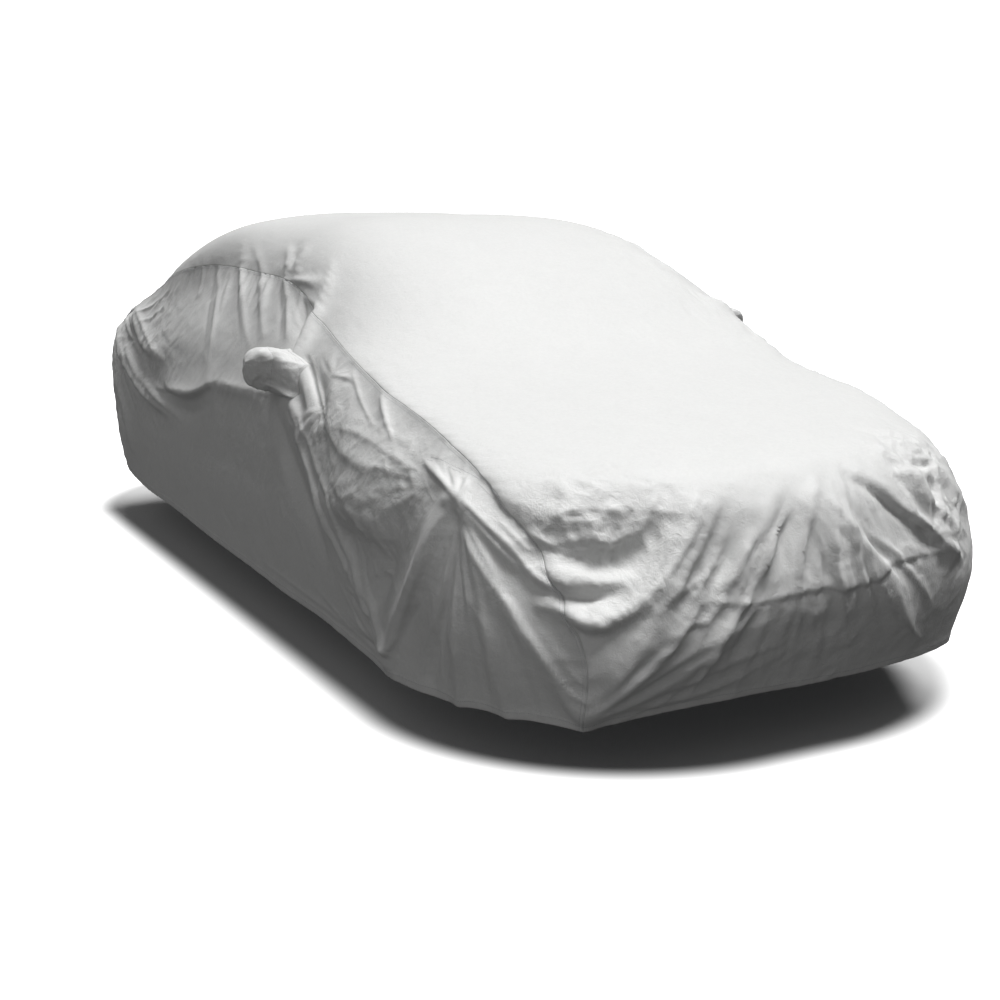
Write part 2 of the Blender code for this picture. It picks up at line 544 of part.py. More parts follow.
def build_cover():
    """Build the five pieces of the cover."""
    sides = [side_surface(SECTIONS, -1, SIDE_COLUMNS, SIDE_ROWS),
             side_surface(LEFT_SECTIONS, 1, SIDE_COLUMNS, SIDE_ROWS)]
    top = top_surface(*sides, SIDE_COLUMNS, SIDE_ROWS, ACROSS)
    grids = [top, *sides]
    normals = shared_normals(top, sides)
    reliefs = [grid_relief(grid, facing) for grid, facing in zip(grids, normals)]
    for grid, facing, relief in zip(grids, normals, reliefs):
        grid += facing * relief[..., None]
    normals = shared_normals(top, sides)
    every = slice(None)
    below = slice(1, None)
    top_edges = (((every, 0), (every, 1)), ((every, -1), (every, -2)))
    side_edges = (((0, every), (1, every)), ((below, 0), (below, 1)), ((below, -1), (below, -2)))
    no_hole = (0, 0, 0, 0)
    build_sheet("top_panel", top, normals[0], reliefs[0], top_edges, no_hole,
                cloth_material("top_panel"))
    for index, hand in enumerate(("right", "left"), start=1):
        panel = "side_panel_" + hand
        pocket = "mirror_pocket_" + hand
        build_sheet(panel, grids[index], normals[index], reliefs[index], side_edges,
                    POCKET_ROWS + POCKET_COLUMNS, cloth_material(panel))
        inside = grids[index] - normals[index] * CLOTH
        build_pocket(pocket, hole_border(grids[index]), hole_border(inside),
                     cloth_material(pocket))


clear_scene()
build_cover()
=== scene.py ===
"""The look of a fitted cloth car cover, draped as in its photograph.

Each of the cover's five sewn pieces is a closed sheet of fine cloth. Its plain
form follows the same sections as the part, and folds, creases, gathers and
crumples raise it from there. Sewing thread runs along the seams, the hem, the
pockets and the dart.

Sizes are metres, except in the tables of folds, creases and gathers. The tables
give heights above the ground, with -Y towards the front end and +X towards the
left side; the finished points are moved so that the origin lies under the crown.
"""
import logging
import math
from dataclasses import astuple, dataclass, replace
from enum import Enum
from functools import partial
from itertools import chain

import bmesh
import bpy
import numpy as np
from bpy.types import ID, Material, Mesh, Node, NodeSocket, NodeTree, Object
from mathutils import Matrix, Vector
from mathutils.bvhtree import BVHTree


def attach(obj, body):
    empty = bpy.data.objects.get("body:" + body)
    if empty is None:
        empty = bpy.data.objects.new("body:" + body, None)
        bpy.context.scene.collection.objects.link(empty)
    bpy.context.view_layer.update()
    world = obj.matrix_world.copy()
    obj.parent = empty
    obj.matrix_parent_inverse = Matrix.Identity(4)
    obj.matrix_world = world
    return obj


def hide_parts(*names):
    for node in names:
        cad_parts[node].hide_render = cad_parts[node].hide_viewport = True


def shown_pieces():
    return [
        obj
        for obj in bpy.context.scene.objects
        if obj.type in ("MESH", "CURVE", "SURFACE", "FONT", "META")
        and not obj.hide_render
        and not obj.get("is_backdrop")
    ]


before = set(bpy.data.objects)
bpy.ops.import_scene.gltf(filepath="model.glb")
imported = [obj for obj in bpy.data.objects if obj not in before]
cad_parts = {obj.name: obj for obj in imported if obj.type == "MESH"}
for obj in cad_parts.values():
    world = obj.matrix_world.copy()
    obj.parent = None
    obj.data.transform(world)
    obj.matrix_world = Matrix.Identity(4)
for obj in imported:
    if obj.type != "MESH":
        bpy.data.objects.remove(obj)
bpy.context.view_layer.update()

log = logging.getLogger("car_cover")

# ---- sizes
CLOTH = 0.0015                 # thickness of the cloth
SEAM_GAP = 0.0005              # space between two sewn edges
ORIGIN = np.array((0.0, 0.50, 1.497))
INSIDE = np.array((0.0, 0.10, 0.60))
END_CLOSENESS = 0.35           # how much closer the columns stand at the two ends
CAD_COLUMNS = 50               # the part's own columns, which place the pocket's hole
CAD_ROWS = 14
POCKET_COLUMNS = (19, 21)
POCKET_ROWS = (2, 4)
FLANK_COLUMNS = (216, 24, 300)  # cells ahead of, over and behind the pocket's hole
FACE_ROWS = 76                 # cells from the lip down to the hem
DECK_ROWS = 216
TAIL_ROWS = 48
ACROSS = 210
TURNS = 601                    # fine steps over the top, before it is cut into cells
SHOULDER_CUT = 32.0            # degrees short of upright where the near shoulder meets its seam
SHOULDER_STATIONS = (0.20, 0.36, 0.86, 0.97)
LIP_REACH = 0.06               # how far from a lip its rounding goes
LIP_ROUNDS = 160
HEM_START = 0.968              # the level where the hem's own close rows start
HEM_LEVELS = (0.972, 0.976, 0.982, 0.988, 0.995, 1.0)
HEM_BAND = 0.024               # height of the turned-up hem
HEM_RISE = 0.0012              # how far its second layer stands out
PUCKER_PITCH = 0.030
PUCKER_HEIGHT = 0.0022
TENT_HEIGHT = 0.008            # how far the cloth stands out round a mirror pocket
TENT_REACH = 0.12
POCKET_LIFT = 0.024            # how far a pocket's tip lies above its root
UNDERCUT = 0.85                # how far a pocket's lower half is drawn in below its top
PATH_STEPS = 24                # straight runs that a fold's path is measured along
PATH_GAP = 0.005               # the least space between a path's points on the cloth
DROOP = 0.35                   # how far a fold hangs lower, as a share of its rise
DRAWN_IN = 0.045               # how far the inner skin may lie in under a deep crease
FOLD_DEPTH = 0.08              # a path may lie this far under or over the cloth
VIEWPOINT = Vector((-2.555, -5.206, 1.561))  # the tables' places were taken as seen from here
LAY_REACH = 0.22               # how far a path's point may move to lie on the cloth
THREAD_LIFT = 0.0004           # how far the thread lies off the cloth
# painted shadow: the width of the soft edge of the box that outlines the cover's shadow on the
# floor
PAINTED_SHADOW_EDGE = 0.10              # half the breadth of the floor's change to white


class Hand(Enum):
    """Which flank a piece belongs to."""

    RIGHT = -1
    LEFT = 1

    @property
    def word(self) -> str:
        """Return the hand's word, as it stands in the pieces' names."""
        return self.name.lower()


@dataclass(frozen=True)
class Section:
    """One cross-section of a flank, with x measured outwards.

    The centre line is (y, z). The top between two seams is a rounded box: a
    boxiness of 2 is an ellipse, and more is flatter with quicker edges.
    """

    place: str
    boxiness: float
    centre: tuple
    seam: tuple
    belt: tuple
    waist: tuple
    hem: tuple


SECTIONS = (
    Section("front corner", 1.7, (-2.09, 0.83), (0.79, -1.84, 0.8), (0.755, -1.94, 0.7),
            (0.715, -2.14, 0.44), (0.7, -2.115, 0.22)),
    Section("front lip", 1.7, (-1.95, 0.868), (0.8, -1.7, 0.85), (0.86, -1.78, 0.74),
            (0.89, -1.88, 0.48), (0.83, -1.9, 0.22)),
    Section("front deck", 1.8, (-1.6, 0.94), (0.8, -1.4, 0.93), (0.89, -1.45, 0.8),
            (0.93, -1.5, 0.5), (0.93, -1.54, 0.2)),
    Section("deck middle", 1.9, (-1.25, 1.01), (0.79, -1.05, 0.99), (0.89, -1.08, 0.86),
            (0.93, -1.12, 0.52), (0.91, -1.14, 0.19)),
    Section("slope foot", 2.2, (-0.92, 1.1), (0.765, -0.72, 1.06), (0.88, -0.74, 0.92),
            (0.92, -0.76, 0.55), (0.9, -0.77, 0.2)),
    Section("front slope", 2.8, (-0.45, 1.33), (0.72, -0.35, 1.145), (0.87, -0.38, 0.95),
            (0.92, -0.38, 0.55), (0.9, -0.38, 0.2)),
    Section("crown front", 3.6, (0.0, 1.475), (0.68, 0.0, 1.245), (0.865, -0.02, 0.96),
            (0.92, -0.02, 0.55), (0.9, -0.02, 0.21)),
    Section("crown", 3.6, (0.5, 1.5), (0.66, 0.5, 1.275), (0.86, 0.5, 0.97),
            (0.92, 0.5, 0.55), (0.9, 0.5, 0.22)),
    Section("crown rear", 3.4, (1.12, 1.488), (0.665, 1.03, 1.275), (0.86, 1.05, 0.98),
            (0.92, 1.06, 0.56), (0.9, 1.06, 0.24)),
    Section("rear slope", 3.0, (1.62, 1.35), (0.725, 1.5, 1.2), (0.86, 1.53, 0.98),
            (0.92, 1.55, 0.57), (0.9, 1.56, 0.25)),
    Section("rear deck", 2.4, (2.0, 1.17), (0.785, 1.88, 1.075), (0.87, 1.93, 0.93),
            (0.9, 2.0, 0.58), (0.87, 2.0, 0.27)),
    Section("rear corner", 2.0, (2.36, 1.07), (0.79, 2.22, 0.97), (0.83, 2.3, 0.83),
            (0.82, 2.38, 0.56), (0.77, 2.32, 0.27)),
)
LEFT_FORMS = (
    Section("front corner", 1.7, (-2.09, 0.83), (0.79, -1.72, 0.82), (0.82, -1.78, 0.7),
            (0.85, -1.85, 0.46), (0.73, -1.92, 0.22)),
    Section("front lip", 1.7, (-1.95, 0.868), (0.8, -1.6, 0.86), (0.86, -1.65, 0.75),
            (0.89, -1.68, 0.48), (0.84, -1.73, 0.21)),
    Section("slope foot", 2.2, (-0.92, 1.1), (0.79, -0.73, 1.11), (0.89, -0.74, 0.95),
            (0.92, -0.76, 0.55), (0.9, -0.77, 0.2)),
    Section("front slope", 3.2, (-0.45, 1.33), (0.76, -0.37, 1.24), (0.9, -0.38, 1.02),
            (0.92, -0.38, 0.55), (0.9, -0.38, 0.2)),
    Section("crown front", 3.6, (0.0, 1.475), (0.7, -0.02, 1.32), (0.88, -0.02, 1.0),
            (0.92, -0.02, 0.55), (0.9, -0.02, 0.21)),
)
LEFT_SECTIONS = tuple({section.place: section for section in SECTIONS + LEFT_FORMS}.values())
LINES = ("seam", "belt", "waist", "hem")
LEVELS = (0.0, 0.24, 0.6, 1.0)  # where those lines lie down a side
FRONT_FACE = ((-2.09, 0.83), (-2.165, 0.67), (-2.215, 0.48), (-2.13, 0.24))
REAR_FACE = ((2.36, 1.07), (2.46, 0.9), (2.5, 0.58), (2.4, 0.29))


# ---- folds, creases and gathers
# Here rises and widths are millimetres, heads and tails tenths, and points centimetres.
@dataclass(frozen=True)
class Fold:
    """A ridge in the cloth, or a trough where its rise is negative, in metres.

    Width is half its breadth, and head and tail are its relative strength at
    the two ends of its path. A crisp of 0 is a soft swell and 1 a pinched
    crease. A fold that leans hangs over on its lower side.
    """

    rise: float
    width: float
    head: float
    tail: float
    path: tuple
    crisp: float
    lean: float


def fold(rise: float, width: float, head: float, tail: float, *path: tuple,
         crisp: float = 0.5, lean: float = 0.25) -> Fold:
    """Return the fold of one row of a table.

    Args:
        rise: how far it stands out, in millimetres.
        width: half its breadth, in millimetres.
        head: its strength where its path starts, in tenths.
        tail: its strength where its path ends, in tenths.
        path: the points that it runs through, in centimetres.
        crisp: how pinched it is.
        lean: how far it hangs over.

    Returns:
        The fold in metres.
    """
    points = tuple(tuple(size / 100 for size in point) for point in path)
    return Fold(rise / 1000, width / 1000, head / 10, tail / 10, points, crisp, lean)


def creases(*rows: tuple) -> tuple:
    """Return the fine creases of a table, which are pinched and lean over."""
    return tuple(fold(*row, crisp=0.9, lean=0.45) for row in rows)


SWELLS = (
    # haunch
    fold(62, 120, 5, 4, (-92, -98, 65), (-92, -120, 68), (-92, -142, 64), crisp=0, lean=0.3),
    # rear crest
    fold(58, 150, 2, 2, (-74, 163, 119), (-68, 131, 132), (-65, 114, 137), (-62, 94, 142),
         (-57, 72, 145), crisp=0, lean=0),
)
MAIN_FOLDS = (
    # upper flank, from the rear
    fold(8, 45, 5, 2, (-67, 100, 127), (-84, 60, 101), (-89, 52, 90)),
    fold(10, 45, 5, 2, (-66, 74, 128), (-77, 39, 112), (-83, 19, 103)),
    fold(8, 40, 5, 2, (-67, 46, 127), (-81, 3, 106)),
    fold(10, 40, 5, 3, (-68, 12, 126), (-79, -21, 107)),
    # slope edge, and the hollow behind it first
    fold(-10, 45, 4, 6, (-70, -2, 121), (-78, -32, 108)),
    fold(12, 45, 4, 6, (-67, -26, 129), (-71, -27, 116), (-79, -32, 106)),
    # swags of the rear quarter with their hollows, and the rear corner
    fold(32, 60, 6, 2, (-81, 187, 104), (-88, 147, 92), (-89, 115, 88), lean=0.5),
    fold(32, 45, 2, 4, (-91, 104, 79), (-91, 74, 78), (-90, 53, 82), (-90, 39, 86), lean=0.65),
    fold(-22, 50, 2, 3, (-91, 102, 70), (-91, 72, 70), (-90, 46, 77)),
    fold(42, 55, 7, 1, (-87, 192, 95), (-90, 175, 84), (-91, 147, 75), (-92, 95, 66), lean=0.5),
    fold(-26, 50, 5, 1, (-87, 170, 94), (-90, 145, 83), (-91, 115, 77)),
    fold(30, 60, 5, 3, (-84, 212, 96), (-90, 195, 76), (-91, 178, 62), (-91, 172, 42)),
    # belt line
    fold(16, 45, 6, 5, (-90, 39, 86), (-89, -15, 87), lean=0.4),
    # pocket to hem, behind it, and two ahead of the pocket
    fold(30, 50, 3, 2.5, (-89, -48, 89), (-92, -80, 68), (-93, -106, 50), (-93, -139, 26),
         crisp=0.6),
    fold(-20, 60, 4, 2, (-90, -34, 84), (-92, -62, 64), (-93, -92, 42)),
    fold(-24, 40, 5, 3, (-81, -44, 103), (-88, -75, 91), (-90, -83, 82)),
    fold(-34, 34, 6, 4, (-87, -39, 96), (-89, -52, 92), (-90, -62, 87)),
    # shoulder, and the hollow under it
    fold(4, 45, 5, 4, (-90, -81, 85), (-88, -114, 87), (-86, -150, 84), lean=0.1),
    fold(-2, 50, 3, 3, (-92, -86, 74), (-92, -108, 68), (-91, -130, 76)),
    # deck edge
    fold(14, 45, 5, 2, (-80, -106, 98), (-86, -125, 89)),
    # tall ridge at the front, behind it and ahead of it
    fold(42, 55, 5, 6, (-88, -169, 75), (-92, -163, 59), (-94, -152, 40), (-93, -140, 24),
         crisp=0.6),
    fold(-26, 55, 3, 4, (-91, -146, 68), (-93, -138, 50), (-93, -128, 36)),
    fold(-26, 45, 4, 5, (-89, -177, 70), (-92, -174, 50), (-92, -166, 26)),
    # fan from the hem
    fold(20, 35, 3, 8, (-90, -180, 62), (-91, -181, 42), (-88, -177, 22)),
    fold(22, 40, 4, 8, (-87, -182, 68), (-87, -192, 44), (-82, -194, 23)),
    # corner: pucker, great diagonal, upper band, dark hollow and swag
    fold(12, 40, 6, 3, (-87, -171, 78), (-86, -160, 84), (-80, -156, 90)),
    fold(34, 45, 6, 4, (-86, -173, 77), (-85, -184, 73), (-81, -201, 64), (-76, -209, 60),
         crisp=0.3, lean=0.72),
    fold(20, 45, 4, 4, (-77, -207, 65), (-71, -211, 62), (-62, -215, 62), lean=0.5),
    fold(-26, 34, 4, 5, (-78, -210, 60), (-73, -212, 58), (-68, -213, 58), (-63, -215, 59)),
    fold(36, 42, 6, 5, (-79, -208, 56), (-70, -216, 51), (-61, -218, 54), (-44, -215, 72),
         (-36, -209, 80), crisp=0.3, lean=0.65),
    # fan to the corner
    fold(24, 46, 4, 6, (-87, -179, 70), (-85, -196, 56), (-79, -208, 42), (-71, -213, 26)),
    fold(28, 46, 4, 5, (-32, -213, 80), (-40, -218, 75), (-49, -223, 67), (-56, -225, 57),
         (-65, -218, 38)),
    fold(-24, 42, 3, 6, (-26, -215, 79), (-33, -223, 70), (-40, -226, 61), (-47, -226, 52)),
    fold(24, 45, 3, 5, (-30, -225, 66), (-46, -223, 52), (-60, -219, 38), (-69, -213, 29)),
    fold(24, 45, 4, 5, (-28, -225, 52), (-45, -222, 39), (-68, -213, 27)),
    # nose
    fold(28, 45, 5, 3, (-24, -214, 80), (-29, -220, 72), (-33, -226, 64), (-34, -227, 56),
         crisp=0.6),
    fold(22, 45, 5, 3, (-16, -216, 79), (-24, -225, 70), (-24, -228, 58), crisp=0.6),
    fold(26, 45, 5, 3, (-7, -219, 77), (-3, -227, 65), (0, -227, 55), crisp=0.6),
    fold(28, 46, 5, 3, (-1, -217, 79), (10, -226, 62), (24, -223, 46), (41, -211, 30), crisp=0.6),
    fold(32, 46, 4, 4, (20, -210, 81), (27, -217, 73), (40, -217, 64), (56, -210, 54), crisp=0.6,
         lean=0.5),
    fold(28, 40, 4, 4, (38, -196, 85), (42, -209, 74), (56, -208, 62), crisp=0.6, lean=0.5),
    # slope to the pocket
    fold(34, 36, 2, 8, (-71, -37, 119), (-74, -32, 112), (-78, -34, 107), (-82, -36, 102), lean=0),
    # far edges of the crown and the slope, and the left corner
    fold(26, 34, 4, 4, (69, -24, 133), (69, -36, 129), (72, -46, 125)),
    fold(26, 30, 4, 4, (75, -56, 119), (79, -66, 114)),
    fold(12, 45, 4, 5, (56, -184, 86), (62, -195, 76), (72, -195, 66), (82, -184, 58)),
    # sloping shelf
    fold(-50, 70, 5, 4, (-77, -204, 70), (-70, -212, 67), (-64, -215, 67), (-57, -216, 70),
         (-50, -214, 74)),
    # hollows of the nose
    fold(-14, 30, 3, 4, (-15, -219, 77), (-21, -227, 66), (-26, -227, 56), (-31, -222, 42)),
    fold(-12, 28, 3, 4, (-8, -219, 77), (-6, -228, 64), (-8, -228, 55)),
    fold(-14, 30, 3, 4, (5, -217, 78), (10, -227, 65), (22, -225, 56)),
    fold(-16, 32, 3, 4, (14, -212, 81), (28, -220, 70), (42, -218, 60)),
    # turned under
    fold(-6, 60, 2, 2, (-36, -224, 44), (0, -224, 44), (30, -219, 45), (60, -204, 46)),
    # left side, from the rear to the fan from the hem
    fold(18, 45, 5, 2, (67, 85, 127), (82, 50, 105)),
    fold(18, 45, 5, 2, (68, 35, 127), (82, 2, 108)),
    fold(34, 60, 6, 2, (87, 192, 92), (91, 150, 76), (92, 90, 70)),
    fold(34, 55, 6, 5, (89, -46, 92), (92, -74, 66), (93, -124, 24)),
    fold(24, 55, 6, 2, (90, -20, 90), (92, 15, 74), (92, 50, 62)),
    fold(24, 50, 4, 4, (90, -90, 86), (88, -140, 84)),
    fold(36, 55, 5, 6, (88, -158, 72), (92, -150, 50), (92, -142, 24)),
    fold(22, 45, 4, 8, (86, -166, 62), (84, -174, 24)),
    # tail: two diagonals, and two from the hem
    fold(26, 55, 6, 3, (-76, 228, 94), (-50, 244, 74), (-20, 250, 60)),
    fold(26, 55, 6, 3, (76, 228, 94), (52, 244, 70), (28, 250, 50)),
    fold(22, 50, 3, 8, (-52, 244, 62), (-70, 236, 30)),
    fold(22, 50, 3, 8, (46, 246, 58), (68, 236, 30)),
)
CORNER_CREASES = creases(
    # waves of the shelf
    (9, 17, 5, 4, (-75, -198, 75), (-68, -200, 77), (-61, -203, 78), (-56, -207, 77)),
    (10, 17, 4, 5, (-74, -206, 71), (-67, -208, 72), (-61, -213, 71), (-56, -214, 71)),
    (8, 13, 5, 4, (-79, -198, 73), (-76, -205, 70), (-73, -209, 69), (-68, -210, 70)),
    (10, 16, 4, 4, (-67, -214, 68), (-63, -212, 71), (-56, -212, 73), (-51, -211, 76)),
    (8, 15, 5, 4, (-46, -207, 80), (-54, -212, 73), (-55, -217, 69)),
    # great diagonal and under it
    (9, 13, 7, 5, (-88, -179, 78), (-86, -189, 73), (-84, -198, 69), (-82, -206, 64),
     (-78, -210, 60)),
    (-7, 12, 5, 5, (-88, -181, 76), (-86, -191, 71), (-84, -199, 66), (-82, -207, 61),
     (-79, -210, 58)),
    # swag and under it
    (10, 15, 6, 5, (-80, -210, 58), (-75, -215, 53), (-71, -217, 52), (-67, -219, 53),
     (-62, -220, 56), (-57, -222, 63), (-51, -221, 70), (-44, -217, 76), (-38, -214, 80)),
    (-7, 13, 6, 3, (-78, -213, 54), (-72, -218, 50), (-66, -220, 51), (-61, -223, 55),
     (-55, -224, 62), (-49, -222, 69)),
    # ridges, from the second
    (9, 15, 5, 4, (-61, -222, 48), (-56, -224, 55), (-50, -224, 62), (-44, -222, 69),
     (-38, -218, 75), (-33, -214, 79)),
    (6, 12, 4, 3, (-53, -224, 53), (-51, -224, 58), (-44, -223, 61), (-37, -223, 66)),
    (7, 12, 4, 3, (-58, -222, 41), (-51, -222, 43), (-47, -224, 50), (-42, -225, 51),
     (-39, -226, 55), (-31, -227, 55)),
    (7, 14, 6, 4, (-61, -213, 23), (-53, -214, 26), (-46, -216, 30), (-40, -219, 35),
     (-36, -223, 43), (-32, -227, 55)),
    # long left line and beside it
    (8, 12, 4, 6, (-89, -179, 75), (-89, -185, 67), (-87, -194, 59), (-85, -202, 53),
     (-82, -207, 45), (-79, -211, 39), (-76, -215, 34), (-72, -217, 31)),
    (-5, 10, 4, 6, (-89, -184, 70), (-88, -192, 63), (-85, -199, 57), (-83, -205, 51),
     (-80, -210, 44), (-77, -213, 38), (-74, -216, 33)),
    # inner vee and cone
    (5, 8, 4, 5, (-78, -213, 45), (-76, -214, 40), (-72, -216, 35)),
    (6, 13, 6, 3, (-89, -178, 75), (-90, -185, 61), (-90, -189, 50), (-88, -191, 42)),
    (5, 12, 4, 5, (-90, -173, 65), (-91, -176, 52), (-91, -181, 35), (-89, -177, 23)),
    (5, 11, 3, 6, (-90, -188, 53), (-88, -193, 45), (-86, -191, 31), (-84, -189, 23)),
    (4, 11, 3, 5, (-93, -168, 53), (-91, -169, 44), (-90, -169, 27)),
    (5, 10, 5, 3, (-89, -183, 74), (-88, -190, 67), (-86, -196, 58)),
    (4, 11, 3, 5, (-84, -203, 46), (-80, -203, 35), (-77, -202, 24)),
    (4, 10, 3, 5, (-86, -198, 56), (-85, -201, 43), (-81, -197, 24)),
    # waves, and under the upper band
    (6, 12, 4, 4, (-83, -190, 74), (-82, -197, 71), (-81, -202, 69), (-78, -203, 70)),
    (5, 11, 4, 4, (-77, -200, 73), (-73, -201, 75), (-70, -203, 74)),
    (5, 10, 4, 4, (-78, -208, 67), (-75, -209, 68), (-73, -212, 67)),
    (-7, 16, 5, 5, (-78, -210, 60), (-75, -211, 58), (-70, -212, 57), (-66, -214, 57),
     (-62, -217, 59)),
    # shelf, lower shelf and small ones
    (6, 16, 4, 3, (-73, -197, 77), (-67, -200, 78), (-61, -198, 81), (-57, -197, 82)),
    (5, 14, 4, 3, (-65, -203, 77), (-53, -207, 78), (-43, -215, 77)),
    (4, 10, 4, 4, (-58, -211, 73), (-51, -208, 78)),
    (4, 10, 4, 4, (-66, -211, 71), (-60, -211, 73), (-56, -214, 71)),
) + (
    # upper band
    fold(14, 18, 5, 5, (-79, -208, 65), (-77, -210, 62), (-72, -212, 60), (-67, -213, 60),
         (-62, -216, 61), crisp=0.4, lean=0.7),
)
BOTH_FLANKS = creases(
    # upper flank, behind its creases, and the slope edge
    (6, 12, 6, 4, (-69, 96, 125), (-76, 77, 114), (-83, 61, 103), (-89, 48, 92)),
    (6, 13, 7, 4, (-67, 69, 128), (-74, 47, 117), (-81, 23, 106), (-83, 14, 102)),
    (7, 12, 7, 5, (-68, 14, 126), (-74, -5, 117), (-79, -17, 108)),
    (-4, 13, 5, 3, (-70, 99, 122), (-77, 84, 113), (-84, 67, 102)),
    (-5, 13, 6, 4, (-68, 71, 126), (-75, 51, 117), (-82, 27, 105)),
    (6, 15, 5, 6, (-69, -12, 121), (-72, -30, 118), (-74, -28, 112), (-79, -31, 107)),
    # upper, middle, long and rear swag
    (8, 16, 6, 3, (-84, 178, 105), (-87, 155, 98), (-90, 130, 92), (-90, 110, 88)),
    (10, 15, 4, 4, (-91, 134, 80), (-92, 112, 76), (-92, 86, 78), (-92, 61, 80), (-91, 41, 85),
     (-90, 35, 87)),
    (14, 16, 7, 2, (-91, 173, 88), (-92, 157, 80), (-92, 131, 74), (-92, 104, 69), (-91, 82, 65)),
    (6, 14, 6, 4, (-89, 199, 89), (-91, 181, 80), (-92, 167, 72)),
    # sweeps to the hem, and the deck edge
    (5, 12, 3, 7, (-92, -98, 37), (-92, -116, 28), (-97, -145, 28)),
    (4, 11, 3, 7, (-91, -73, 30), (-91, -100, 25), (-97, -139, 27)),
    (8, 11, 5, 4, (-81, -108, 97), (-86, -124, 91), (-88, -132, 88)),
) + (
    # shoulder
    fold(4, 15, 6, 5, (-91, -87, 86), (-91, -101, 87), (-90, -123, 86), (-90, -137, 84),
         (-88, -150, 82), crisp=0.9, lean=0.1),
)
FLANK_CREASES = creases(
    # gathers of the crown and the slope, and behind them
    (10, 18, 4, 5, (-67, 117, 134), (-68, 120, 126), (-75, 107, 115)),
    (10, 18, 3, 4, (-64, 76, 138), (-67, 69, 128), (-74, 49, 118)),
    (9, 18, 3, 4, (-65, 57, 137), (-66, 46, 128), (-75, 20, 115)),
    (11, 18, 5, 6, (-66, 6, 138), (-67, 13, 131), (-68, 13, 126)),
    (10, 18, 5, 6, (-64, 0, 139), (-67, -1, 134), (-68, 7, 130)),
    (-7, 16, 4, 5, (-68, 127, 131), (-70, 130, 124), (-75, 120, 116)),
    (12, 18, 5, 5, (-63, -23, 134), (-69, -32, 126), (-72, -30, 118), (-77, -30, 109)),
    (-7, 12, 4, 5, (-70, -10, 120), (-73, -21, 115), (-76, -24, 110)),
    # rear lapels
    (8, 12, 5, 4, (-85, 175, 104), (-81, 164, 107), (-78, 155, 112)),
    (7, 11, 5, 4, (-87, 161, 101), (-84, 151, 103), (-80, 142, 109)),
    # upper flank, behind its creases, and by the slope edge
    (5, 12, 6, 4, (-67, 44, 126), (-74, 25, 118), (-81, 2, 106)),
    (-3, 12, 6, 4, (-68, 48, 125), (-75, 26, 116), (-82, 8, 105)),
    (-4, 11, 6, 5, (-69, 18, 124), (-75, 0, 116), (-80, -13, 108)),
    (4, 11, 5, 4, (-71, 0, 122), (-74, -14, 114), (-76, -27, 110)),
    # rear shoulder and belt line
    (5, 14, 4, 4, (-84, 160, 103), (-80, 155, 109), (-75, 150, 116)),
    (6, 14, 6, 5, (-90, 35, 87), (-90, 1, 88), (-89, -26, 89)),
    # dark crease at the pocket, ahead of it, and the pocket's root
    (-9, 11, 7, 4, (-81, -43, 103), (-85, -61, 96), (-87, -72, 90), (-91, -87, 87)),
    (7, 12, 6, 4, (-81, -47, 104), (-85, -65, 97), (-88, -77, 91), (-91, -91, 87)),
    (5, 12, 5, 4, (-87, -56, 94), (-89, -66, 88)),
    # pocket to hem, behind it, and a sweep to the hem
    (10, 13, 6, 6, (-90, -55, 88), (-92, -70, 81), (-93, -84, 71), (-94, -97, 61), (-95, -107, 55),
     (-95, -117, 48), (-95, -121, 40)),
    (-6, 11, 6, 5, (-91, -50, 86), (-93, -66, 79), (-94, -81, 70), (-96, -95, 60), (-96, -105, 53),
     (-95, -112, 46), (-94, -115, 37)),
    (4, 10, 2, 5, (-90, -14, 26), (-90, -56, 25), (-91, -103, 24)),
    # vee, thin line, under the shoulder and the deck edge
    (4, 12, 4, 4, (-91, -89, 71), (-91, -103, 66), (-91, -117, 73), (-91, -125, 79)),
    (3, 6, 5, 5, (-91, -118, 78), (-90, -135, 80), (-88, -149, 82)),
    (-1, 14, 5, 5, (-91, -90, 82), (-91, -107, 81), (-90, -124, 81), (-90, -141, 81)),
    (5, 10, 5, 4, (-79, -80, 102), (-84, -99, 95), (-88, -118, 90)),
    # tall ridge, ahead of it, and the shoulder's end
    (9, 12, 6, 6, (-90, -173, 75), (-93, -168, 67), (-95, -165, 57), (-96, -163, 52),
     (-96, -157, 43), (-96, -147, 30)),
    (-5, 10, 6, 6, (-89, -176, 74), (-92, -171, 65), (-94, -167, 56), (-94, -164, 48),
     (-95, -158, 40), (-95, -150, 29)),
    (2, 11, 4, 5, (-88, -153, 82), (-90, -163, 77), (-91, -171, 76)),
    # lower flank and lower vee
    (4, 9, 4, 4, (-93, -115, 61), (-93, -124, 57)),
    (4, 9, 4, 4, (-93, -129, 51), (-92, -130, 47)),
    (4, 9, 4, 4, (-92, -134, 50), (-95, -150, 47)),
    (4, 9, 4, 4, (-92, -105, 62), (-93, -115, 57)),
    (6, 10, 4, 4, (-96, -138, 31), (-97, -145, 29), (-96, -152, 35)),
) + (
    # shoulder's lower edge
    fold(9, 30, 4, 4, (-91, -91, 82), (-91, -107, 79), (-91, -120, 78), (-90, -141, 81), crisp=0.1,
         lean=0.4),
)
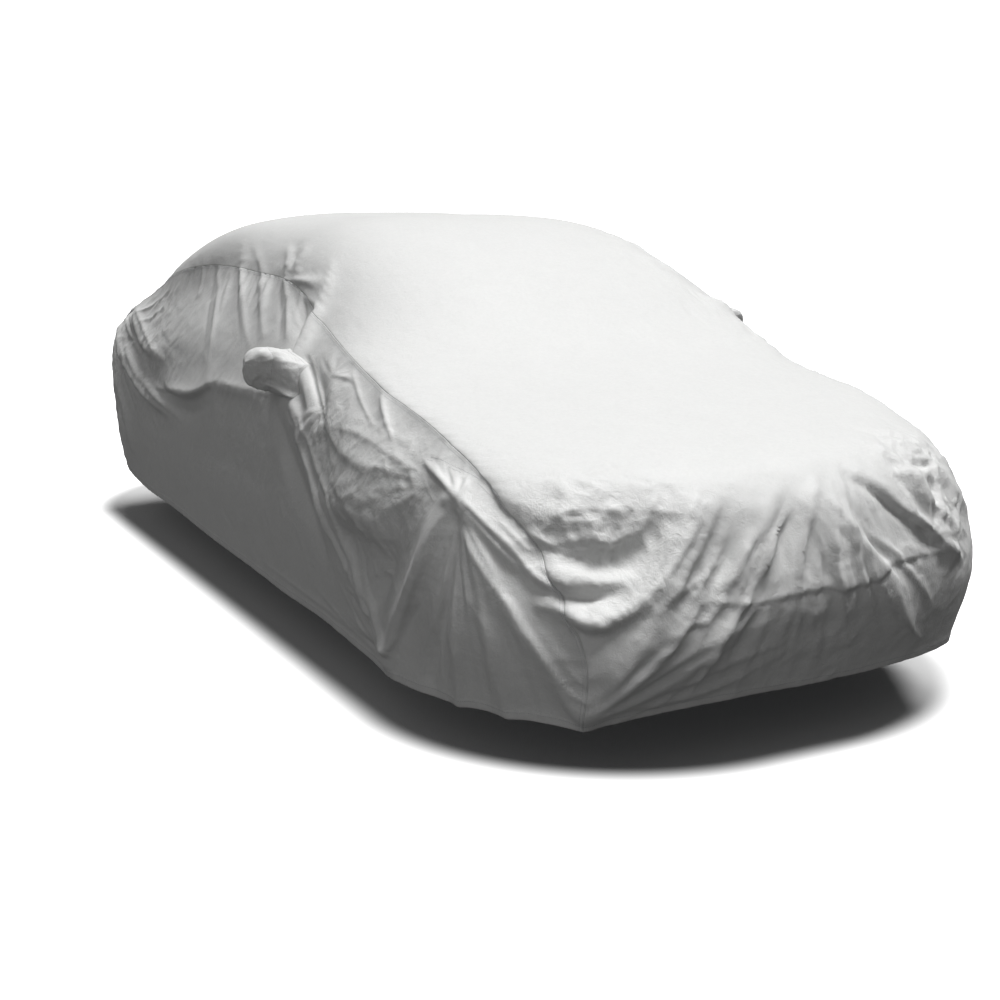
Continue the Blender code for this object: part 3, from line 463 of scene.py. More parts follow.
NOSE_CREASES = creases(
    # streaks
    (9, 12, 2, 4, (-35, -214, 80), (-46, -222, 72), (-54, -224, 64), (-61, -222, 56)),
    (8, 11, 2, 4, (-28, -214, 79), (-34, -220, 70), (-42, -224, 63), (-46, -224, 57)),
    (8, 11, 2, 4, (-21, -215, 79), (-29, -224, 69), (-33, -227, 59)),
    (5, 11, 2, 4, (-8, -218, 78), (-8, -228, 69), (-4, -230, 60)),
    (9, 12, 2, 4, (-1, -218, 79), (2, -227, 71), (11, -229, 61), (24, -225, 51)),
    # long creases of the nose, from the right, and beside them
    (10, 16, 5, 6, (-20, -218, 77), (-25, -224, 71), (-29, -227, 62), (-32, -227, 55),
     (-35, -226, 50), (-37, -223, 43), (-40, -216, 30)),
    (8, 15, 4, 4, (-28, -212, 80), (-37, -218, 74), (-46, -223, 65), (-53, -225, 58)),
    (5, 12, 4, 4, (-32, -213, 80), (-38, -216, 78), (-46, -222, 72)),
    (6, 13, 4, 5, (-17, -225, 72), (-19, -228, 66), (-19, -228, 56)),
    (6, 12, 4, 5, (-9, -222, 75), (-9, -229, 67), (-5, -230, 60), (0, -229, 56)),
    (8, 12, 5, 4, (-3, -218, 78), (-2, -225, 73), (2, -229, 67), (8, -229, 59), (15, -227, 52),
     (33, -217, 38), (47, -208, 29)),
    (4, 11, 4, 4, (9, -216, 78), (10, -223, 73), (13, -227, 67)),
    (10, 14, 5, 4, (17, -211, 81), (19, -215, 79), (25, -220, 73), (33, -222, 68), (42, -221, 61),
     (63, -207, 51)),
    (8, 14, 4, 4, (37, -199, 85), (37, -204, 83), (34, -212, 78), (37, -217, 73), (36, -222, 68),
     (45, -220, 64), (53, -213, 66)),
    (-7, 13, 5, 4, (16, -216, 78), (21, -221, 73), (29, -223, 68), (37, -222, 61)),
    (-6, 13, 4, 4, (41, -200, 84), (46, -204, 80), (56, -200, 80)),
    # below the turned-under edge
    (5, 11, 6, 4, (-12, -229, 56), (-9, -226, 49), (-4, -222, 40), (3, -215, 27)),
    (4, 11, 6, 4, (0, -229, 55), (6, -224, 47), (13, -218, 34)),
    (5, 12, 5, 4, (-30, -227, 52), (-32, -224, 45), (-33, -218, 33)),
    (5, 11, 6, 4, (-25, -227, 52), (-23, -222, 43), (-25, -219, 35), (-24, -213, 25)),
    (4, 11, 6, 4, (-19, -227, 53), (-16, -223, 45), (-14, -219, 35)),
    (4, 11, 5, 4, (15, -227, 52), (25, -220, 41), (37, -211, 28)),
    (4, 11, 5, 4, (28, -224, 59), (39, -217, 47), (48, -210, 36)),
    # left side
    (6, 10, 4, 4, (42, -207, 80), (48, -208, 77), (59, -202, 75)),
    (6, 10, 4, 4, (43, -213, 75), (46, -214, 72), (59, -207, 70)),
    (5, 10, 4, 4, (52, -190, 86), (52, -195, 83), (59, -193, 84)),
) + (
    # turned under
    fold(8, 24, 5, 4, (-31, -227, 55), (-26, -227, 55), (-19, -228, 56), (-13, -229, 57),
         (-8, -229, 57), (0, -229, 56), (10, -229, 58), (14, -229, 61), (24, -225, 60),
         (32, -223, 60), (48, -219, 59), crisp=0.3, lean=0.75),
)


@dataclass(frozen=True)
class Gathers:
    """Many small creases between two lines, each of its own strength and length.

    The tops may be one point, from which the creases then fan out. Near and far
    are the shares of a crease's length that may be missing at its top and its
    foot.
    """

    tops: tuple
    feet: tuple
    count: int
    rise: float
    width: float
    seed: int
    near: float = 0.3
    far: float = 0.4

    def folds(self) -> list:
        """Return the creases as folds in metres."""
        draw = np.random.default_rng(self.seed)
        shares = (np.arange(self.count) + draw.uniform(0.1, 0.9, self.count)) / self.count
        made = []
        for top, foot in zip(self.along(self.tops, shares), self.along(self.feet, shares)):
            start = draw.uniform(0, self.near)
            end = 1 - draw.uniform(0, self.far)
            middle = (start + end) / 2
            sway = draw.normal(0, 0.02, 3) * np.linalg.norm(foot - top)
            path = (top + (foot - top) * start, top + (foot - top) * middle + sway,
                    top + (foot - top) * end)
            rise = self.rise * draw.uniform(0.35, 1.0) * draw.choice((1, 1, 1, -0.7))
            width = self.width * draw.uniform(0.8, 1.4)
            made.append(Fold(rise / 1000, width / 1000, draw.uniform(0.0, 0.3),
                             draw.uniform(0.0, 0.3), path, 0.5, 0.45))
        return made

    @staticmethod
    def along(line: tuple, shares: np.ndarray) -> np.ndarray:
        """Return the points at the given shares of a line, or its one point, in metres."""
        points = np.array(line, float) / 100
        if len(points) == 1:
            return np.repeat(points, len(shares), axis=0)
        return smooth_through(points, chord_knots(points), shares)


GATHERS = (
    # front cone, and over the corner
    Gathers(((-88.5, -178, 76),), ((-93, -152, 22), (-90, -174, 21), (-83, -192, 22),
            (-72, -211, 23)), 30, 5.8, 11.2, 11),
    Gathers(((-87.5, -174, 77.5),), ((-88, -147, 85), (-85, -160, 86), (-82, -174, 83)), 13, 7.2,
            8.1, 12, 0.1, 0.25),
    # nose, hem corner, and corner to swag
    Gathers(((2, -204, 85), (22, -202, 85)), ((-52, -218, 30), (-20, -216, 26), (20, -214, 26),
            (55, -202, 30)), 58, 9, 10.5, 13, 0.35, 0.5),
    Gathers(((-70, -213, 25),), ((-42, -224, 60), (-22, -226, 50), (-10, -220, 34),
            (-20, -214, 25)), 12, 8, 13.8, 14, 0.15, 0.5),
    Gathers(((-80, -212, 57),), ((-74, -215, 42), (-62, -222, 42), (-52, -222, 50)), 7, 6.4, 12.5,
            15, 0.2, 0.5),
    # foot of the long fold, and the shoulder's fan
    Gathers(((-94, -142, 25),), ((-92, -80, 25), (-92, -95, 42), (-93, -118, 60)), 12, 6.4, 12.5,
            16, 0.1, 0.5),
    Gathers(((-88, -160, 80),), ((-91, -105, 84), (-92, -110, 66), (-93, -132, 48)), 10, 3, 12, 17,
            0.2, 0.6),
    # below and above the pocket
    Gathers(((-90, -80, 90),), ((-91, -38, 83), (-92, -56, 72), (-92, -80, 72), (-91, -98, 80)),
            13, 6.4, 11.2, 18, 0.1, 0.4),
    Gathers(((-86, -80, 101),), ((-80, -42, 109), (-77, -70, 107), (-82, -102, 98)), 8, 4.8, 10,
            19, 0.1, 0.4),
    # crown: seam, corner and rear
    Gathers(((-61, 120, 136), (-60, 50, 138), (-63, -12, 135)), ((-80, 100, 108), (-78, 42, 110),
            (-76, -20, 112)), 30, 9, 14, 20, 0.5, 0.6),
    Gathers(((-68, 10, 127),), ((-63, 31, 142), (-63, 2, 140), (-66, -27, 131), (-70, -45, 121)),
            9, 11, 17, 41, 0.05, 0.3),
    Gathers(((-66, 142, 126), (-72, 162, 118)), ((-84, 120, 100), (-86, 150, 98)), 7, 8, 15, 21,
            0.2, 0.4),
    # rear quarter, rear hem and belt
    Gathers(((-82, 210, 102),), ((-92, 110, 72), (-92, 145, 58), (-91, 185, 45)), 12, 8, 16.2, 22,
            0.1, 0.5),
    Gathers(((-90, 200, 66), (-86, 230, 66)), ((-90, 190, 27), (-79, 230, 29)), 9, 8, 17.5, 23,
            0.3, 0.1),
    Gathers(((-88, 30, 94), (-88, -30, 94)), ((-91, 42, 80), (-91, -20, 80)), 12, 4.8, 11.2, 24,
            0.3, 0.4),
    # left side: cone, crown seam, pocket, rear quarter, hem and corner
    Gathers(((88, -160, 78),), ((92, -136, 22), (90, -158, 21), (80, -178, 22), (70, -190, 24)),
            24, 6.4, 12.5, 31),
    Gathers(((63, 120, 138), (62, 50, 139), (64, -12, 140)), ((80, 100, 108), (78, 42, 112),
            (78, -20, 116)), 26, 6.4, 13.8, 32, 0.3, 0.5),
    Gathers(((91, -80, 95),), ((91, -36, 88), (92, -52, 74), (92, -82, 74), (91, -102, 86)), 13,
            6.4, 11.2, 33, 0.1, 0.4),
    Gathers(((82, 210, 102),), ((92, 110, 72), (92, 145, 58), (91, 185, 45)), 12, 8, 16.2, 34, 0.1,
            0.5),
    Gathers(((92, 90, 50), (93, -110, 50)), ((90, 120, 24), (92, -130, 20)), 12, 3.2, 26, 35, 0.2,
            0.3),
    Gathers(((62, -172, 88),), ((42, -216, 66), (62, -204, 50), (80, -184, 40)), 12, 8, 13.8, 36,
            0.25, 0.4),
    # tail: middle, right corner and left corner
    Gathers(((-30, 236, 106), (30, 236, 106)), ((-60, 242, 32), (60, 242, 32)), 26, 8, 17.5, 37,
            0.3, 0.5),
    Gathers(((-74, 224, 98),), ((-30, 250, 52), (-60, 242, 34), (-78, 234, 40)), 12, 9.6, 17.5, 38,
            0.1, 0.4),
    Gathers(((74, 224, 98),), ((30, 250, 52), (60, 242, 34), (78, 234, 40)), 12, 9.6, 17.5, 39,
            0.1, 0.4),
    # rear deck
    Gathers(((-55, 174, 122), (55, 174, 122)), ((-70, 216, 102), (70, 216, 102)), 14, 4.8, 20, 40,
            0.3, 0.3),
)


@dataclass(frozen=True)
class Crumple:
    """A patch where the cloth is crushed into small facets."""

    centre: tuple
    radius: float
    strength: float


CRUMPLES = (
    Crumple((0.55, -2.03, 0.76), 0.2, 0.0088),  # left side of the nose
    Crumple((-0.62, -2.08, 0.73), 0.2, 0.007),  # shelf over the corner
    Crumple((-0.92, -1.08, 0.72), 0.2, 0.0022),  # under the shoulder
    Crumple((-0.92, -1.42, 0.66), 0.22, 0.0022),  # behind the tall ridge
    Crumple((-0.4, -2.24, 0.6), 0.12, 0.004),  # between the fan folds
    Crumple((-0.9, -0.78, 0.86), 0.1, 0.0048),  # pocket's foot
    Crumple((-0.9, 1.35, 0.86), 0.28, 0.003),  # rear quarter
    Crumple((-0.86, 2.05, 0.8), 0.25, 0.0048),  # rear corner
    Crumple((0.92, -1.1, 0.74), 0.3, 0.004),  # left shoulder
    Crumple((0.9, 1.45, 0.84), 0.32, 0.0048),  # left rear quarter
    Crumple((0.1, 2.48, 0.72), 0.45, 0.004),  # tail
    Crumple((0.72, -0.15, 1.3), 0.24, 0.006),  # far crown edge
    Crumple((0.78, -0.72, 1.08), 0.2, 0.005),  # far slope edge
    Crumple((0.0, -2.22, 0.42), 0.3, 0.0016),  # lower nose
)
CRUMPLE_SIZES = ((0.105, 1.15, 51), (0.050, 0.55, 52), (0.022, 0.20, 53))
ALL_OVER = 0.0009              # strength of the crumples where no patch is


# ---- curves
def smooth_through(points: tuple, knots: tuple, where: np.ndarray) -> np.ndarray:
    """Return a smooth curve through points, read at other places.

    Args:
        points: the points that the curve goes through.
        knots: the places along the curve where they lie.
        where: the places to read it at.

    Returns:
        An array with a point for each place.
    """
    points = np.asarray(points, float)
    knots = np.asarray(knots, float)
    where = np.asarray(where, float)
    steps = np.diff(knots)
    secants = np.diff(points, axis=0) / steps[:, None]
    slopes = np.empty_like(points)
    slopes[0] = secants[0]
    slopes[-1] = secants[-1]
    before = steps[:-1, None]
    after = steps[1:, None]
    slopes[1:-1] = (secants[:-1] * after + secants[1:] * before) / (before + after)
    cell = np.clip(np.searchsorted(knots, where, side="right") - 1, 0, len(steps) - 1)
    width = steps[cell][:, None]
    t = (where - knots[cell])[:, None] / width
    return (points[cell] * (1 + 2 * t) * (1 - t) ** 2
            + slopes[cell] * width * t * (1 - t) ** 2
            + points[cell + 1] * t ** 2 * (3 - 2 * t)
            + slopes[cell + 1] * width * t ** 2 * (t - 1))


def chord_knots(points: tuple) -> np.ndarray:
    """Return knots from 0 to 1 spaced as the points are."""
    lengths = np.linalg.norm(np.diff(np.asarray(points, float), axis=0), axis=1)
    total = np.concatenate([[0.0], np.cumsum(lengths)])
    return total / total[-1]


def read_along(where: np.ndarray, knots: np.ndarray, values: np.ndarray) -> np.ndarray:
    """Return vectors read straight between the knots where they are known."""
    return np.stack([np.interp(where, knots, column) for column in values.T], axis=-1)


def crowded(even: np.ndarray) -> np.ndarray:
    """Return even places from 0 to 1 moved closer together near both ends."""
    return even - END_CLOSENESS * np.sin(2 * math.pi * even) / (2 * math.pi)


def unit(vectors: np.ndarray) -> np.ndarray:
    """Return vectors scaled to length one."""
    return vectors / np.maximum(np.linalg.norm(vectors, axis=-1, keepdims=True), 1e-12)


def travelled(points: np.ndarray, axis: int) -> np.ndarray:
    """Return the distance along one axis of a grid of points, from its start."""
    steps = np.linalg.norm(np.diff(points, axis=axis), axis=-1)
    start = np.zeros_like(np.take(steps, [0], axis=axis))
    return np.concatenate([start, np.cumsum(steps, axis=axis)], axis=axis)


def ways_in(points: np.ndarray) -> tuple:
    """Return a grid's distances down from its first row and in from its two ends."""
    along = travelled(points, 1)
    return travelled(points, 0), along, along[:, -1:] - along


def step_down(distance: np.ndarray, edge: float, softness: float) -> np.ndarray:
    """Return 1 below the edge and 0 above it, with a soft change between."""
    t = np.clip((distance - edge) / softness + 0.5, 0, 1)
    return 1 - t * t * (3 - 2 * t)


def round_side(grid: np.ndarray) -> np.ndarray:
    """Return a side's sewn edge: up its front, along its seam and down its rear."""
    return np.concatenate([grid[:0:-1, 0], grid[0], grid[1:, -1]])


def seam_places(front: np.ndarray, stations: np.ndarray, rear: np.ndarray) -> np.ndarray:
    """Return the seam's parameter: to 1 up the front, to 2 along and to 3 down the rear."""
    return np.concatenate([1 - front[:0:-1], 1 + stations, 2 + rear[1:]])


def ring_round(first: int, end: int, start: int, last: int) -> list:
    """Return the grid places round a block, down its start and back up its last column."""
    return ([(row, start) for row in range(first, end)]
            + [(end, cell) for cell in range(start, last)]
            + [(row, last) for row in range(end, first, -1)]
            + [(first, cell) for cell in range(last, start, -1)])


def grid_quads(rows: int, cells: int, start: int = 0) -> np.ndarray:
    """Return the four corners' numbers of each cell of a grid of points.

    Args:
        rows: how many rows of points the grid has.
        cells: how many points a row has.
        start: the number of the grid's first point.

    Returns:
        An array [row, cell, corner].
    """
    index = np.arange(rows * cells).reshape(rows, cells) + start
    return np.stack([index[:-1, :-1], index[1:, :-1], index[1:, 1:], index[:-1, 1:]], axis=-1)


# ---- plain form
def section_lines(sections: tuple, stations: np.ndarray) -> dict:
    """Return the seam, belt, waist, hem and centre lines read at the stations.

    Args:
        sections: the cross-sections from front to rear.
        stations: places from 0 to 1 along the seam.

    Returns:
        Each line's points, and the boxiness, by name.
    """
    knots = chord_knots([section.seam for section in SECTIONS])
    tables = {name: [getattr(section, name) for section in sections] for name in LINES}
    tables["centre"] = [(0.0, *section.centre) for section in sections]
    tables["boxiness"] = [(section.boxiness,) for section in sections]
    lines = {name: smooth_through(table, knots, stations) for name, table in tables.items()}
    lines["boxiness"] = lines["boxiness"][:, 0]
    return lines


def side_surface(hand: Hand, stations: np.ndarray, levels: np.ndarray) -> np.ndarray:
    """Return a flank's points as an array [level, station], from seam to hem."""
    lines = section_lines(SECTIONS if hand is Hand.RIGHT else LEFT_SECTIONS, stations)
    profiles = np.stack([lines[name] for name in LINES], axis=1)
    surface = np.stack([smooth_through(profile, LEVELS, levels) for profile in profiles], axis=1)
    surface[..., 0] *= hand.value
    return surface


def cross_rows(right: np.ndarray, left: np.ndarray, centres: np.ndarray,
               boxiness: np.ndarray, cut: np.ndarray) -> np.ndarray:
    """Return rows of points from the right edge over the centre to the left.

    Args:
        right: the right edge's points.
        left: the left edge's points.
        centres: the points on the centre line.
        boxiness: each row's boxiness.
        cut: how far short of upright each row meets its right edge, in radians.

    Returns:
        An array [row, place across].
    """
    turns = np.linspace(-1, 1, TURNS)
    fine = np.empty((len(centres), TURNS, 3))
    for index, turn in enumerate(turns):
        edge = right if turn < 0 else left
        end = math.pi / 2 - cut * (turn < 0)
        lowest = np.cos(end) ** (2 / boxiness)
        outwards = (np.sin(abs(turn) * end) / np.sin(end)) ** (2 / boxiness)
        fullness = np.clip(np.cos(abs(turn) * end), 0, 1) ** (2 / boxiness)
        fullness = (fullness - lowest) / (1 - lowest)
        fine[:, index] = edge + (centres - edge) * fullness[:, None]
        fine[:, index, 0] = edge[:, 0] * outwards
    places = crowded(np.linspace(0, 1, ACROSS + 1))
    return np.array([read_along(places * distance[-1], distance, line)
                     for line, distance in zip(fine, travelled(fine, 1))])


def grid_normals(surface: np.ndarray) -> np.ndarray:
    """Return the outward normals of a grid of points."""
    normals = unit(np.cross(np.gradient(surface, axis=0), np.gradient(surface, axis=1)))
    return normals * np.sign(np.sum(normals * (surface - INSIDE)))


def smoothed(normals: np.ndarray, sewn: tuple, rounds: int) -> np.ndarray:
    """Return normals smoothed over a grid, with the sewn edges kept.

    Args:
        normals: the grid's normals.
        sewn: indexes of the edges that keep their values.
        rounds: how many times each normal is drawn to its neighbours.

    Returns:
        The smoothed normals.
    """
    kept = [normals[edge].copy() for edge in sewn]
    for _ in range(rounds):
        wide = np.pad(normals, ((1, 1), (1, 1), (0, 0)), mode="edge")
        around = wide[2:, 1:-1] + wide[:-2, 1:-1] + wide[1:-1, 2:] + wide[1:-1, :-2]
        normals = unit(normals + around)
        for edge, values in zip(sewn, kept):
            normals[edge] = values
    return normals


# ---- relief
def lattice_noise(points: np.ndarray, seed: int) -> np.ndarray:
    """Return smooth noise from about -1 to 1, on a lattice of one unit."""
    cell = np.floor(points).astype(np.int64)
    offset = points - cell
    fade = offset ** 3 * (offset * (offset * 6 - 15) + 10)
    total = np.zeros(len(points))
    for corner in np.ndindex(2, 2, 2):
        place = cell + corner
        mixed = (place[:, 0] * 73856093) ^ (place[:, 1] * 19349663) ^ (place[:, 2] * 83492791)
        mixed = (mixed ^ (seed * 2654435)) & 0xFFFFFFF
        mixed = (mixed ^ (mixed >> 13)) * 1274126 & 0x3FFFFFFF
        mixed ^= mixed >> 11
        slopes = np.stack([(mixed >> shift & 255) / 127.5 - 1 for shift in (0, 8, 16)], axis=1)
        share = np.prod(np.where(corner, fade, 1 - fade), axis=1)
        total += share * np.sum(slopes * (offset - corner), axis=1)
    return total * 1.5


def crushed(points: np.ndarray) -> np.ndarray:
    """Return the height of crushed cloth, from about -1 to 1, in small facets."""
    total = np.zeros(len(points))
    for size, share, seed in CRUMPLE_SIZES:
        warp = np.stack([lattice_noise(points / (size * 1.7) + 9.3, seed + 40 + axis)
                         for axis in range(3)], axis=1)
        noise = lattice_noise(points / size + warp * 0.8, seed)
        total += share * (1 - 2.6 * np.abs(noise))
    return total


def beside_path(place: np.ndarray, facing: np.ndarray, path: np.ndarray) -> tuple:
    """Return how points of the cloth lie beside a path.

    Args:
        place: the points.
        facing: the cloth's normals there.
        path: the path's points, PATH_STEPS straight runs.

    Returns:
        Each point's distance over the cloth, its share of the way along and
        how far uphill of the path it lies, from -1 to 1.
    """
    nearest = np.full(len(place), np.inf)
    share_along = np.zeros(len(place))
    uphill = np.zeros(len(place))
    for index, (start, end) in enumerate(zip(path[:-1], path[1:])):
        run = end - start
        offset = place - start
        climb = facing @ run
        above = np.sum(offset * facing, axis=1)
        share = (offset @ run - above * climb) / np.maximum(run @ run - climb ** 2, 1e-9)
        share = np.clip(share, 0.0, 1.0)
        depth = above - share * climb
        flat = offset - share[:, None] * run - depth[:, None] * facing
        distance = np.linalg.norm(flat, axis=1)
        distance += np.maximum(np.abs(depth) - FOLD_DEPTH, 0.0)
        closer = distance < nearest
        nearest[closer] = distance[closer]
        share_along[closer] = (index + share[closer]) / PATH_STEPS
        uphill[closer] = flat[closer, 2] / np.maximum(distance[closer], 1e-9)
    return nearest, share_along, uphill


def fold_relief(points: np.ndarray, normals: np.ndarray, folds: list) -> np.ndarray:
    """Return how far the folds raise each point along its normal."""
    relief = np.zeros(len(points))
    knots = np.linspace(0.0, 1.0, PATH_STEPS + 1)
    for fold in folds:
        path = smooth_through(fold.path, chord_knots(fold.path), knots)
        reach = 4 * fold.width + FOLD_DEPTH
        near = np.all((points > path.min(0) - reach) & (points < path.max(0) + reach), axis=1)
        spots = np.flatnonzero(near)
        if len(spots) == 0:
            continue
        distance, along, uphill = beside_path(points[spots], normals[spots], path)
        end_strength = np.where(along < 0.5, fold.head, fold.tail)
        strength = 1 - (1 - end_strength) * (2 * along - 1) ** 2
        lean = fold.lean if fold.rise > 0 else 0.0
        reach = distance / (fold.width * (1 + lean * uphill))
        soft = np.exp(-reach ** 2)
        pinched = np.exp(-1.8 * (np.sqrt(reach ** 2 + 0.04) - 0.2))
        relief[spots] += fold.rise * strength * (soft + (pinched - soft) * fold.crisp)
    return relief


class Relief:
    """Everything that raises or lowers the cloth from its plain form."""

    def __init__(self) -> None:
        """Collect the fine creases of both flanks and every gather."""
        self.fine = [*CORNER_CREASES, *BOTH_FLANKS, *FLANK_CREASES, *NOSE_CREASES]
        for crease in BOTH_FLANKS:
            path = tuple((-x, y + 0.04, z) for x, y, z in crease.path)
            self.fine.append(replace(crease, rise=crease.rise * 0.9, path=path))
        for gathers in GATHERS:
            self.fine.extend(gathers.folds())

    @staticmethod
    def crumple_strength(points: np.ndarray, normals: np.ndarray) -> np.ndarray:
        """Return how strongly the cloth is crushed at each point."""
        steep = np.sqrt(np.clip(1 - normals[:, 2] ** 2, 0, 1))
        strength = ALL_OVER * (0.35 + 0.65 * steep)
        for patch in CRUMPLES:
            distance = np.linalg.norm(points - patch.centre, axis=1)
            strength = strength + patch.strength * np.exp(-(distance / patch.radius) ** 2)
        return strength


# ---- meshes of cloth
def add_object(name: str, data: ID) -> Object:
    """Return a new object that stands in the scene."""
    made = bpy.data.objects.new(name, data)
    bpy.context.scene.collection.objects.link(made)
    return made


def cloth_mesh(name: str, points: np.ndarray, faces: list, slots: list, skins: tuple) -> Mesh:
    """Return a smooth mesh of cloth, in the part's frame.

    Args:
        name: the mesh's name.
        points: its points, in the tables' frame.
        faces: the numbers of each face's points.
        slots: 0 for each face of the outer skin and 1 for each of the inner.
        skins: the materials of the two skins.

    Returns:
        The mesh.
    """
    mesh = bpy.data.meshes.new(name)
    mesh.from_pydata((points - ORIGIN).tolist(), [], faces)
    for skin in skins:
        mesh.materials.append(skin)
    mesh.polygons.foreach_set("material_index", slots)
    mesh.shade_smooth()
    return mesh


def write_layers(mesh: Mesh, flat: np.ndarray, layers: dict) -> None:
    """Give a mesh its UV map in metres and the values that its material reads.

    Args:
        mesh: the mesh.
        flat: where each of its points lies on the flat cloth.
        layers: each layer's value at each point, by the layer's name.
    """
    corner = np.empty(len(mesh.loops), np.int32)
    mesh.loops.foreach_get("vertex_index", corner)
    flat_map = mesh.uv_layers.new(name="cloth_metres")
    flat_map.data.foreach_set("uv", flat[corner].astype(np.float32).ravel())
    for name, values in layers.items():
        layer = mesh.attributes.new(name, "FLOAT", "POINT")
        layer.data.foreach_set("value", values.astype(np.float32).ravel())


@dataclass
class Sheet:
    """A grid of cloth points, with the edges that are sewn and an optional hole."""

    name: str
    points: np.ndarray
    border: np.ndarray  # the seam's parameter at each place of a sewn edge
    sewn: tuple  # indexes of the sewn edges
    hang: np.ndarray  # how freely each row may hang, from 0 to 1
    hole: tuple = None  # its first and end row, and its start and last column
    normals: np.ndarray = None
    outwards: np.ndarray = None  # the normals after the swells, before the folds
    seam_distance: np.ndarray = None
    hem_distance: np.ndarray = None
    crumple: np.ndarray = None

    def raise_by(self, heights: np.ndarray, droop: float = 0.0) -> None:
        """Raise the cloth along its normals, and let what stands out hang lower."""
        heights = heights.reshape(self.points.shape[:2])
        steep = np.clip(1 - self.normals[..., 2] ** 2, 0, 1)
        self.points = self.points + self.normals * heights[..., None]
        self.points[..., 2] -= droop * np.maximum(heights, 0) * steep * self.hang[:, None]

    def flat(self) -> tuple:
        """Return the points and normals as two plain lists of vectors."""
        return self.points.reshape(-1, 3), self.normals.reshape(-1, 3)

    def rings(self) -> list:
        """Return the rings of grid places round the sheet and round its hole."""
        rows, cells = self.points.shape[:2]
        outside = ring_round(0, rows - 1, 0, cells - 1)
        return [outside, ring_round(*self.hole)[::-1]] if self.hole else [outside]

    def inner_points(self) -> np.ndarray:
        """Return the sheet's inner points, drawn in where a crease needs it."""
        rows, cells = self.points.shape[:2]
        wide = np.pad(self.points, ((2, 2), (2, 2), (0, 0)), mode="edge")
        lowest = np.zeros((rows, cells))
        for down, along in np.ndindex(5, 5):
            beside = wide[down:down + rows, along:along + cells]
            height = np.sum((beside - self.points) * self.outwards, axis=-1)
            lowest = np.minimum(lowest, height)
        for place in chain(*self.rings()):
            lowest[place] = 0
        lowest = np.maximum(lowest, -DRAWN_IN)
        return self.points + self.outwards * (lowest - CLOTH)[..., None]

    def build(self, skins: tuple) -> Object:
        """Return the closed sheet as an object, its inner skin coarser than its outer."""
        rows, cells = self.points.shape[:2]
        rings = self.rings()
        open_cell = np.ones((rows - 1, cells - 1), bool)
        if self.hole:
            first, end, start, last = self.hole
            open_cell[first:end, start:last] = False
        faces = grid_quads(rows, cells)[open_cell].tolist()
        outer_end = len(faces)
        on_rim = np.zeros((rows, cells), bool)
        for place in chain(*rings):
            on_rim[place] = True
        outer = np.arange(rows * cells).reshape(rows, cells)
        inner = outer + rows * cells
        kept = on_rim.copy()
        kept[::2, ::2] = True
        for row in range(0, rows - 1, 2):
            for cell in range(0, cells - 1, 2):
                if open_cell[row, cell]:
                    around = ring_round(row, row + 2, cell, cell + 2)
                    faces.append([inner[place] for place in around[:1] + around[:0:-1]
                                  if kept[place]])
        inner_end = len(faces)
        for ring in rings:
            for here, after in zip(ring, ring[1:] + ring[:1]):
                faces.append([outer[after], outer[here], inner[here], inner[after]])
        both = np.concatenate([self.points.reshape(-1, 3), self.inner_points().reshape(-1, 3)])
        used = np.zeros(len(both), bool)
        used[list(chain(*faces))] = True
        renumber = np.cumsum(used) - 1
        slots = np.zeros(len(faces), np.int32)
        slots[outer_end:inner_end] = 1
        mesh = cloth_mesh(self.name, both[used], [renumber[face].tolist() for face in faces],
                          slots, skins)
        corner, below, beside = self.points[0, 0], self.points[1, 0], self.points[0, 1]
        if np.cross(below - corner, beside - corner) @ self.normals[0, 0] < 0:
            mesh.flip_normals()
        self.mark_rims(mesh, np.tile(on_rim.ravel(), 2)[used])
        self.add_layers(mesh, used)
        mesh.validate()
        return add_object(self.name, mesh)

    @staticmethod
    def mark_rims(mesh: Mesh, on_rim: np.ndarray) -> None:
        """Mark the edges whose two ends lie on a rim as sharp."""
        ends = np.empty(len(mesh.edges) * 2, np.int32)
        mesh.edges.foreach_get("vertices", ends)
        layer = mesh.attributes.new("sharp_edge", "BOOLEAN", "EDGE")
        layer.data.foreach_set("value", on_rim[ends[::2]] & on_rim[ends[1::2]])

    def add_layers(self, mesh: Mesh, used: np.ndarray) -> None:
        """Give the mesh its flat places and layers, at those of both skins' points in use."""
        down, along, _ = ways_in(self.points)
        middle = self.points.shape[1] // 2
        across = along - along[:, middle:middle + 1]
        flat = np.stack([across.ravel(), down.ravel()], axis=1)
        layers = {name: np.tile(getattr(self, name).ravel(), 2)[used]
                  for name in ("seam_distance", "hem_distance", "crumple")}
        write_layers(mesh, np.tile(flat, (2, 1))[used], layers)


# ---- the three panels
def flank_places() -> tuple:
    """Return a side panel's stations, levels and the grid place of its hole."""
    even = np.array([0, *POCKET_COLUMNS, CAD_COLUMNS]) / CAD_COLUMNS
    stations = [crowded(np.linspace(start, end, count + 1))[:-1]
                for start, end, count in zip(even[:-1], even[1:], FLANK_COLUMNS)]
    stations = np.concatenate([*stations, [1.0]])
    top, foot = (row / CAD_ROWS for row in POCKET_ROWS)
    levels = np.concatenate([(0.0, 0.004, 0.009), np.linspace(0.016, top, 18),
                             np.linspace(top, foot, 19)[1:],
                             np.linspace(foot, HEM_START, 87)[1:], HEM_LEVELS])
    first, end = (int(np.argmin(abs(levels - level))) for level in (top, foot))
    return stations, levels, (first, end, FLANK_COLUMNS[0], sum(FLANK_COLUMNS[:2]))


def face_levels(count: int) -> np.ndarray:
    """Return levels from lip to hem with the hem's own close rows."""
    return np.concatenate([np.linspace(0, HEM_START, count - 5), HEM_LEVELS])


